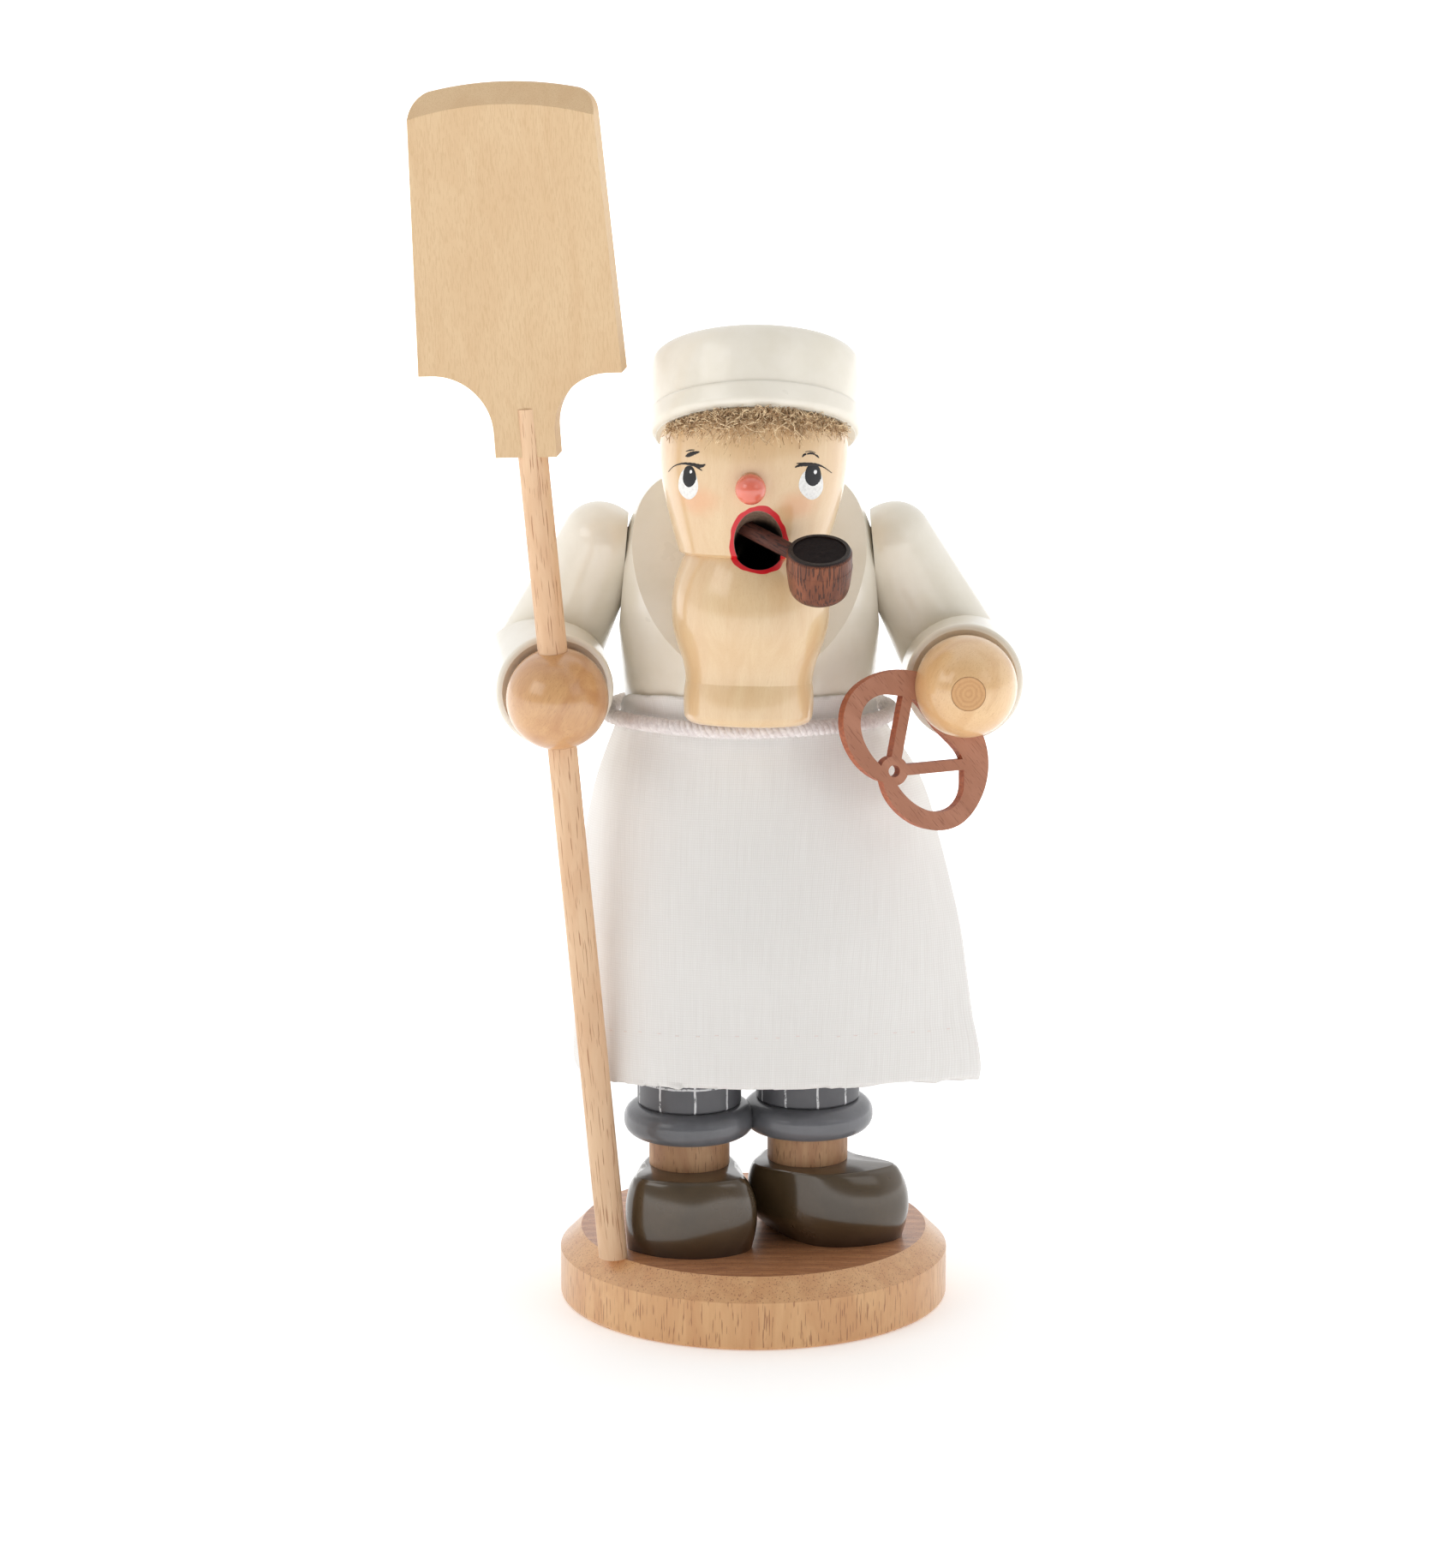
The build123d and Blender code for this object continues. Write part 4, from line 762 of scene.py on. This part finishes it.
# Tobacco: a charred, crumbly disc in the bowl
BOWL_RIM = Vector((10.1, -48.5, 139.8)) * MM
BOWL_AXIS = Vector((0.0, -0.342, 0.9397))
BOWL_BACK = Vector((0.0, 0.9397, 0.342))
TOBACCO_RADIUS = 4.27
TOBACCO_DROP = 0.22
RINGS = 16
AROUND = 64
vertices, faces = [], []
for i in range(RINGS + 1):
    for k in range(AROUND):
        turn = math.tau * k / AROUND
        radius = TOBACCO_RADIUS * MM * i / RINGS
        flat = Vector((math.cos(turn), 0, 0)) * radius + BOWL_BACK * math.sin(turn) * radius
        rough_height = noise.noise(flat * 900 + Vector((3, 1, 2))) * 0.10 + noise.noise(flat * 2600) * 0.05
        vertices.append(BOWL_RIM + flat + BOWL_AXIS * (rough_height - TOBACCO_DROP) * MM)
for i in range(RINGS):
    for k in range(AROUND):
        a = i * AROUND + k
        b = i * AROUND + (k + 1) % AROUND
        faces.append((a, a + AROUND, b + AROUND, b))
shader = Shader("tobacco_char", Roughness=0.75, Specular_IOR_Level=0.15)
crumbs = shader.noise(shader.place(), 0.3 * MM, 4.0, 0.7)
tone = shader.mix(shader.fade(crumbs, 0.35, 0.75), rgb(20, 14, 15), rgb(36, 27, 27))
tobacco_paint = shader.finish(tone, normal=shader.bump(crumbs, 0.06 * MM))
new_piece("tobacco", vertices, faces, tobacco_paint)

# Apron: the bell of cloth, gathered under the cord. Each level has a height in mm, and in degrees a
# lean and the ends' turns from the front. The ruffle above the cord runs down to it at both ends
APRON_HEIGHTS = (107.5, 104.9, 94.33, 83.77, 73.2, 62.63, 52.07, 41.5)
APRON_LEANS = (10.0, 3.6, 7.0, 7.0, 7.0, 7.0, 7.0, 7.0)
APRON_RIGHT = (104.0, 104.0, 98.0, 95.0, 92.0, 90.0, 88.0, 86.5)
APRON_LEFT = (104.0, 104.0, 95.0, 88.0, 83.0, 79.0, 76.0, 74.3)
APRON_ROWS = 120
APRON_COLUMNS = 220
APRON_DROP = 70
APRON_SIDE_SHARE = 0.994
CLOTH_THICKNESS = 0.38
CLOTH_INSET = 0.25
CORD_ROW = 0.075
CORD_HEIGHT = APRON_HEIGHTS[1]
RUFFLE_FULL = 62.0
RUFFLE_GONE = 97.0
RUFFLE_FALL = 0.85
PLEATS_PER_RADIAN = 27
GATHER_DEPTH = 0.34
GATHER_FADE = 7.5
RAY_LENGTH = 70
LEAST_REACH = 15
apron_surface = surface_of("apron")


def between(values, place):
    """A value of a table at a place counted in its steps."""
    i = min(max(int(place), 0), len(values) - 2)
    share = place - i
    return values[i] * (1 - share) + values[i + 1] * share


grid = []
for row in range(APRON_ROWS + 1):
    t = row / APRON_ROWS
    place = t / CORD_ROW if t < CORD_ROW else 1 + (t - CORD_ROW) / (1 - CORD_ROW) * 6
    height = between(APRON_HEIGHTS, place)
    lean = math.radians(between(APRON_LEANS, place))
    first = -between(APRON_RIGHT, place)
    last = between(APRON_LEFT, place)
    centre = AXIS + Vector((0, 0, height * MM))
    line = []
    known = None
    for column in range(APRON_COLUMNS + 1):
        s = column / APRON_COLUMNS
        turn = math.radians((first + (last - first) * s) * APRON_SIDE_SHARE)
        if place < 1:
            end_share = min(max((abs(math.degrees(turn)) - RUFFLE_FULL) / (RUFFLE_GONE - RUFFLE_FULL), 0), 1)
            low = RUFFLE_FALL * end_share * end_share * (3 - 2 * end_share)
            centre = AXIS + Vector((0, 0, (height + (CORD_HEIGHT - height) * low) * MM))
        outward = Vector((math.sin(turn), -math.cos(turn) * math.cos(lean), math.cos(turn) * math.sin(lean)))
        hit, _, _, _ = apron_surface.ray_cast(centre + outward * RAY_LENGTH * MM, -outward)
        if hit is not None and (hit - centre).dot(outward) > LEAST_REACH * MM:
            known = (hit - centre).dot(outward)
        line.append([centre, outward, known, turn])
    for column in reversed(range(APRON_COLUMNS)):
        if line[column][2] is None:
            line[column][2] = line[column + 1][2]
    grid.append(line)
rows = []
for row, line in enumerate(grid):
    t = row / APRON_ROWS
    below = max(t - CORD_ROW, 0) * APRON_DROP
    above = max(CORD_ROW - t, 0) * APRON_DROP
    cloth = []
    for centre, outward, reach, turn in line:
        wander = 3.6 * noise.noise(Vector((turn * 2.0, 3.0, 0.0)))
        ripple = 0.5 * noise.noise(Vector((turn * 9, below * 0.2, 1.0)))
        pleat = 0.5 + 0.5 * math.sin(turn * PLEATS_PER_RADIAN + wander + ripple)
        gather = GATHER_DEPTH * pleat * min(below / 1.2, 1) * math.exp(-below / GATHER_FADE)
        ruffle = (0.05 + 0.16 * pleat) * min(above / 4.0, 1.2)
        soft = 0.16 * (noise.noise(Vector((turn * 3.2, below * 0.055, 5.0))) + 0.6) * min(below / 12, 1)
        fold = 0.14 * (0.5 + 0.5 * math.sin(turn * 6.5 + 0.8)) * min(below / 30, 1)
        hem = 0.05 * (0.5 + 0.5 * math.sin(turn * 11 + 2.0)) * (t > 0.86)
        fine = 0.02 * noise.noise(Vector((turn * 60, below * 1.2, 2.0)))
        offset = gather + ruffle + soft + fold + hem + fine - CLOTH_INSET
        cloth.append(centre + outward * (reach + offset * MM))
    rows.append(cloth)

vertices = [p for line in rows for p in line]
faces = []
stride = APRON_COLUMNS + 1
for row in range(APRON_ROWS):
    for column in range(APRON_COLUMNS):
        a = row * stride + column
        faces.append((a, a + stride, a + stride + 1, a + 1))

# Linen: warp and weft threads with slubs, on a map of the flat cloth in millimetres
linen = Shader("apron_linen", Sheen_Weight=0.25, Sheen_Roughness=0.6, Specular_IOR_Level=0.15, Roughness=0.9,
               Subsurface_Weight=0.4, Subsurface_Scale=2.5 * MM, Subsurface_Radius=(1, 1, 1))
flat_map = linen.add("ShaderNodeUVMap", uv_map="flat_cloth").outputs[0]
cloud = linen.noise(linen.vector("MULTIPLY", flat_map, (1, 0.05, 1)), 0.5, 3.0, 0.7)
slub = linen.noise(linen.vector("MULTIPLY", flat_map, (0.08, 1, 1)), 0.5, 3.0, 0.7)
drift = linen.noise(flat_map, 4.0, 2.0, 0.5)
u, v, _ = linen.split(flat_map)
u = linen.plus(u, linen.times(drift, 0.35))
v = linen.plus(v, linen.times(drift, 0.35))
THREAD = 0.4
warp = linen.times(linen.math("SINE", linen.times(u, math.tau / THREAD)), 0.3)
uneven = linen.noise(linen.vector("MULTIPLY", flat_map, (1, 0.04, 1)), THREAD, 1.0, 0.5)
warp = linen.plus(warp, linen.times(linen.minus(uneven, 0.5), 1.2))
weft = linen.math("SINE", linen.times(v, math.tau / THREAD))
over = linen.times(warp, weft)
weave = linen.plus(linen.times(warp, linen.plus(cloud, 0.25)),
                   linen.times(weft, linen.times(slub, 0.35)))
weave = linen.plus(weave, linen.times(over, 0.2))
tone = linen.mix(linen.fade(weave, -0.9, 0.9), rgb(236, 231, 226), rgb(251, 248, 244))
tone = linen.mix(linen.times(linen.fade(cloud, 0.6, 0.8), 0.25), tone, rgb(222, 214, 208))
tone = linen.mix(linen.times(linen.fade(slub, 0.66, 0.8), 0.25), tone, rgb(220, 212, 206))
linen_paint = linen.finish(tone, normal=linen.bump(weave, 0.022 * MM))
apron = new_piece("apron_cloth", vertices, faces, linen_paint)
layer = apron.data.uv_layers.new(name="flat_cloth")
lengths = []
for line in rows:
    travel = [0.0]
    for a, b in zip(line, line[1:]):
        travel.append(travel[-1] + (b - a).length / MM)
    lengths.append(travel)
middle = APRON_COLUMNS // 2
drops = [0.0]
for a, b in zip(rows, rows[1:]):
    drops.append(drops[-1] + (b[middle] - a[middle]).length / MM)
widest = max(travel[-1] for travel in lengths)
for polygon in apron.data.polygons:
    for loop in polygon.loop_indices:
        index = apron.data.loops[loop].vertex_index
        row, column = divmod(index, stride)
        layer.data[loop].uv = (widest * column / APRON_COLUMNS, drops[row])
thicken = apron.modifiers.new("thickness", "SOLIDIFY")
thicken.thickness = CLOTH_THICKNESS * MM
thicken.offset = -1
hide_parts("apron")

# Hem stitches: short threads that dip in and out of the cloth, and the hem's soft ridge
STITCH_ROW = 0.868
STITCH_PITCH = 3.4
STITCH_MARGIN = 3.0
STITCH_RADIUS = 0.07
STITCH_PATH = ((-0.34, -0.1), (-0.22, 0.02), (0.0, 0.04), (0.22, 0.02), (0.34, -0.1))
vertices, faces = [], []
row = round(STITCH_ROW * APRON_ROWS)
travel = lengths[row]
at = STITCH_MARGIN
while at < travel[-1] - STITCH_MARGIN:
    column = next(i for i, value in enumerate(travel) if value >= at)
    base = rows[row][column]
    ahead = (rows[row][column + 1] - rows[row][column - 1]).normalized()
    outward = grid[row][column][1]
    jog = 0.18 * math.sin(at * 5.1) * MM
    points = [base + ahead * (x * MM) + outward * (h * MM) + Vector((0, 0, jog)) for x, h in STITCH_PATH]
    tube(points, STITCH_RADIUS * MM, 6, vertices, faces)
    at += STITCH_PITCH * (1 + 0.06 * math.sin(at))
stitch_paint = cotton("stitch_cotton", rgb(248, 236, 230), rgb(238, 216, 208), 0.1)
stitches = new_piece("apron_stitches", vertices, faces, stitch_paint)

# Cord: three plies twisted round the waist, with a knot at the back and loose fuzz
CORD_CENTRE = Vector((*WAIST, 104.6)) * MM
CORD_AXIS = Vector((0.0, 0.0628, 0.998))
CORD_BACK = Vector((0.0, 0.998, -0.0628))
CORD_RING = 23.9
CORD_BACK_DROP = 0.5
PLIES = 3
PLY_OFFSET = 0.66
PLY_RADIUS = 0.68
PLY_STEPS = 12
TWISTS = 46
CORD_OPENING = 0.008
KNOT_STEPS = 150
KNOT_PLY_RADIUS = 0.40
KNOT_PLY_OFFSET = 0.36
END_LENGTHS = ((-1, 5.4), (1, 4.4))
END_STEPS = 24
FUZZ_COUNT = 1500
FUZZ_OFFSET = 1.15
FUZZ_RADIUS = 0.022
vertices, faces = [], []


def cord_point(turn, ply_turn, offset):
    """A point of a ply at an angle round the waist from the back."""
    outward = CORD_BACK * math.cos(turn) + Vector((math.sin(turn), 0, 0))
    slack = 0.10 * math.sin(turn * 5 + 1.0)
    reach = CORD_RING - CORD_BACK_DROP * max(math.cos(turn), 0)
    centre = CORD_CENTRE + outward * reach * MM + CORD_AXIS * slack * MM
    return centre + (outward * math.cos(ply_turn) + CORD_AXIS * math.sin(ply_turn)) * offset * MM


def any_way():
    """A random vector with each part between -1 and 1."""
    return Vector((rng.uniform(-1, 1), rng.uniform(-1, 1), rng.uniform(-1, 1)))


for ply in range(PLIES):
    count = TWISTS * PLY_STEPS
    path = []
    for i in range(count + 1):
        turn = math.tau * (CORD_OPENING + (1 - 2 * CORD_OPENING) * i / count)
        path.append(cord_point(turn, math.tau * (ply / PLIES + TWISTS * i / count), PLY_OFFSET))
    radii = [PLY_RADIUS * MM * (1 + 0.05 * math.sin(i * 0.9 + ply)) for i in range(count + 1)]
    tube(path, radii, 8, vertices, faces)
KNOT = CORD_CENTRE + CORD_BACK * (CORD_RING + 0.1) * MM
for ply in range(PLIES):
    path = []
    for i in range(KNOT_STEPS + 1):
        turn = math.tau * i / KNOT_STEPS
        x = (math.sin(turn) + 2 * math.sin(2 * turn)) * 0.56
        z = (math.cos(turn) - 2 * math.cos(2 * turn)) * 0.50
        y = -math.sin(3 * turn) * 0.62
        twist = turn * 4 + math.tau * ply / PLIES
        path.append(KNOT + Vector((
            x + KNOT_PLY_OFFSET * math.cos(twist),
            y + 0.25 + 0.30 * math.sin(twist * 1.3),
            z + KNOT_PLY_OFFSET * math.sin(twist),
        )) * MM)
    tube(path, KNOT_PLY_RADIUS * MM, 8, vertices, faces)
for side, reach in END_LENGTHS:
    for ply in range(PLIES):
        path = []
        for i in range(END_STEPS + 1):
            share = i / END_STEPS
            twist = share * 9 + math.tau * ply / PLIES
            spread = 0.40 + 0.35 * max(share - 0.7, 0) * 3
            x = side * (1.0 + 1.6 * share)
            path.append(KNOT + Vector((
                x + spread * math.cos(twist),
                0.9 + 0.4 * math.sin(share * 3),
                -1.0 - reach * share + spread * math.sin(twist) * 0.5,
            )) * MM)
        radii = [KNOT_PLY_RADIUS * MM * (1 - 0.25 * i / END_STEPS) for i in range(END_STEPS + 1)]
        tube(path, radii, 7, vertices, faces)
for i in range(FUZZ_COUNT):
    turn = rng.uniform(0, math.tau)
    around = rng.uniform(0, math.tau)
    point = cord_point(turn, around, FUZZ_OFFSET)
    outward = (point - cord_point(turn, around, 0.0)).normalized()
    way = (outward + any_way() * 0.9).normalized()
    bend = any_way()
    path = [point]
    for _ in range(4):
        way = (way + bend * 0.45).normalized()
        path.append(path[-1] + way * rng.uniform(0.10, 0.30) * MM)
    tube(path, FUZZ_RADIUS * MM, 3, vertices, faces)
cord_paint = cotton("cord_cotton", rgb(240, 233, 231), rgb(218, 208, 206), 0.25)
cord = new_piece("cord_plies", vertices, faces, cord_paint)
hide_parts("apron_cord")

# Shoes: turned-looking blocks with a flat top, a bulge and a narrower foot. Each line is one place
# round the shoe: top x, y, then foot x, y, then bulge x, y, in mm from the ankle
SHOE_LEFT = (
    (-1.5, 8.0, -3.0, 10.0, -3.0, 10.6),
    (-6.4, 5.2, -7.6, 8.2, -8.6, 7.6),
    (-8.0, 1.0, -7.2, 3.6, -10.2, 3.4),
    (-9.3, -3.0, -5.6, 0.6, -10.3, -1.2),
    (-8.0, -6.0, -4.4, -1.8, -8.0, -4.6),
    (-4.0, -8.7, -2.2, -5.4, -4.6, -7.8),
    (0.0, -10.7, 0.6, -8.2, -1.2, -10.4),
    (4.2, -10.9, 3.6, -9.4, 3.4, -11.8),
    (8.3, -9.6, 7.6, -9.3, 8.2, -11.4),
    (12.5, -7.2, 12.0, -7.7, 13.5, -9.2),
    (14.8, -4.4, 15.4, -4.8, 17.0, -5.4),
    (12.2, -1.6, 16.0, -1.0, 16.7, -0.6),
    (8.4, 1.4, 11.0, 3.8, 11.4, 3.6),
    (5.0, 5.8, 5.0, 8.6, 5.4, 8.8),
)
SHOE_RIGHT = (
    (0.0, 8.6, 0.0, 9.6, 0.0, 10.2),
    (-5.6, 6.0, -6.4, 7.6, -7.0, 7.6),
    (-7.6, 0.6, -8.8, 2.0, -9.6, 1.6),
    (-7.5, -3.0, -9.8, -2.6, -10.4, -2.6),
    (-9.0, -7.6, -10.5, -6.8, -10.9, -7.2),
    (-8.0, -10.2, -8.3, -9.4, -9.4, -10.4),
    (-3.7, -12.0, -5.0, -11.7, -5.2, -12.8),
    (0.6, -12.4, 0.2, -12.9, 0.4, -13.9),
    (5.2, -11.9, 5.4, -11.9, 5.8, -12.9),
    (8.6, -10.0, 9.2, -9.4, 10.5, -10.6),
    (8.7, -7.2, 10.7, -6.0, 11.6, -7.2),
    (7.9, -3.2, 10.0, -2.0, 10.4, -2.4),
    (7.6, 0.8, 8.8, 2.4, 9.6, 2.0),
    (5.6, 6.0, 6.4, 7.6, 7.0, 7.6),
)
SHOE_HEIGHT = 13.5
BULGE_AT = 0.45
SHOULDER = 0.95
SOCKET_RADIUS = 3.05
SOCKET_DEPTH = 6.55
SHOE_LEVELS = 30
SHOE_STEPS = 8
SHOE_TOP_EDGE = ((0.22, 0.0), (0.06, 0.08), (0.0, 0.3))
SHOE_SHARP_ANGLE = 40


def closed_line(points, steps):
    """A Catmull-Rom curve through points of any length that ends where it starts."""
    count = len(points)
    wrapped = [points[-1]] + list(points) + [points[0], points[1]]
    return smooth_line(wrapped, steps)[steps:steps * (count + 1)]


def shoe(name, ankle, outline, replaced):
    """A closed shoe with a socket for the ankle's peg. Each level mixes top, foot and bulge."""
    around = closed_line(outline, SHOE_STEPS)
    levels = []
    for i in range(SHOE_LEVELS):
        s = i / SHOE_LEVELS
        if s < BULGE_AT:
            share = math.sin(math.pi / 2 * s / BULGE_AT)
            weights = (0.0, 1 - share, share)
        else:
            climb = SHOULDER * (s - BULGE_AT) / (1 - BULGE_AT)
            share = (1 - math.sqrt(1 - climb ** 2)) / (1 - math.sqrt(1 - SHOULDER ** 2))
            weights = (share, 0.0, 1 - share)
        levels.append((weights, BOARD_TOP + SHOE_HEIGHT * s, 0.0))
    top = BOARD_TOP + SHOE_HEIGHT
    levels.extend(((1.0, 0.0, 0.0), top - drop, inset) for drop, inset in SHOE_TOP_EDGE)
    vertices = []
    for (head_share, foot_share, bulge_share), height, inset in levels:
        for ax, ay, bx, by, cx, cy in around:
            x = ax * head_share + bx * foot_share + cx * bulge_share
            y = ay * head_share + by * foot_share + cy * bulge_share
            keep = 1 - inset / math.hypot(x, y)
            vertices.append(Vector((ankle[0] + x * keep, ankle[1] + y * keep, height)) * MM)
    for height in (top, top - SOCKET_DEPTH):
        for ax, ay, *_ in around:
            keep = SOCKET_RADIUS / math.hypot(ax, ay)
            vertices.append(Vector((ankle[0] + ax * keep, ankle[1] + ay * keep, height)) * MM)
    faces = joined_rings(0, len(levels) + 2, len(around))
    piece = new_piece(name, vertices, faces, shoe_paint, body="lower")
    piece.data.set_sharp_from_angle(angle=math.radians(SHOE_SHARP_ANGLE))
    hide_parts(replaced)


shoe("shoe_left_shaped", ANKLE_LEFT, SHOE_LEFT, "shoe_left")
shoe("shoe_right_shaped", ANKLE_RIGHT, SHOE_RIGHT, "shoe_right")
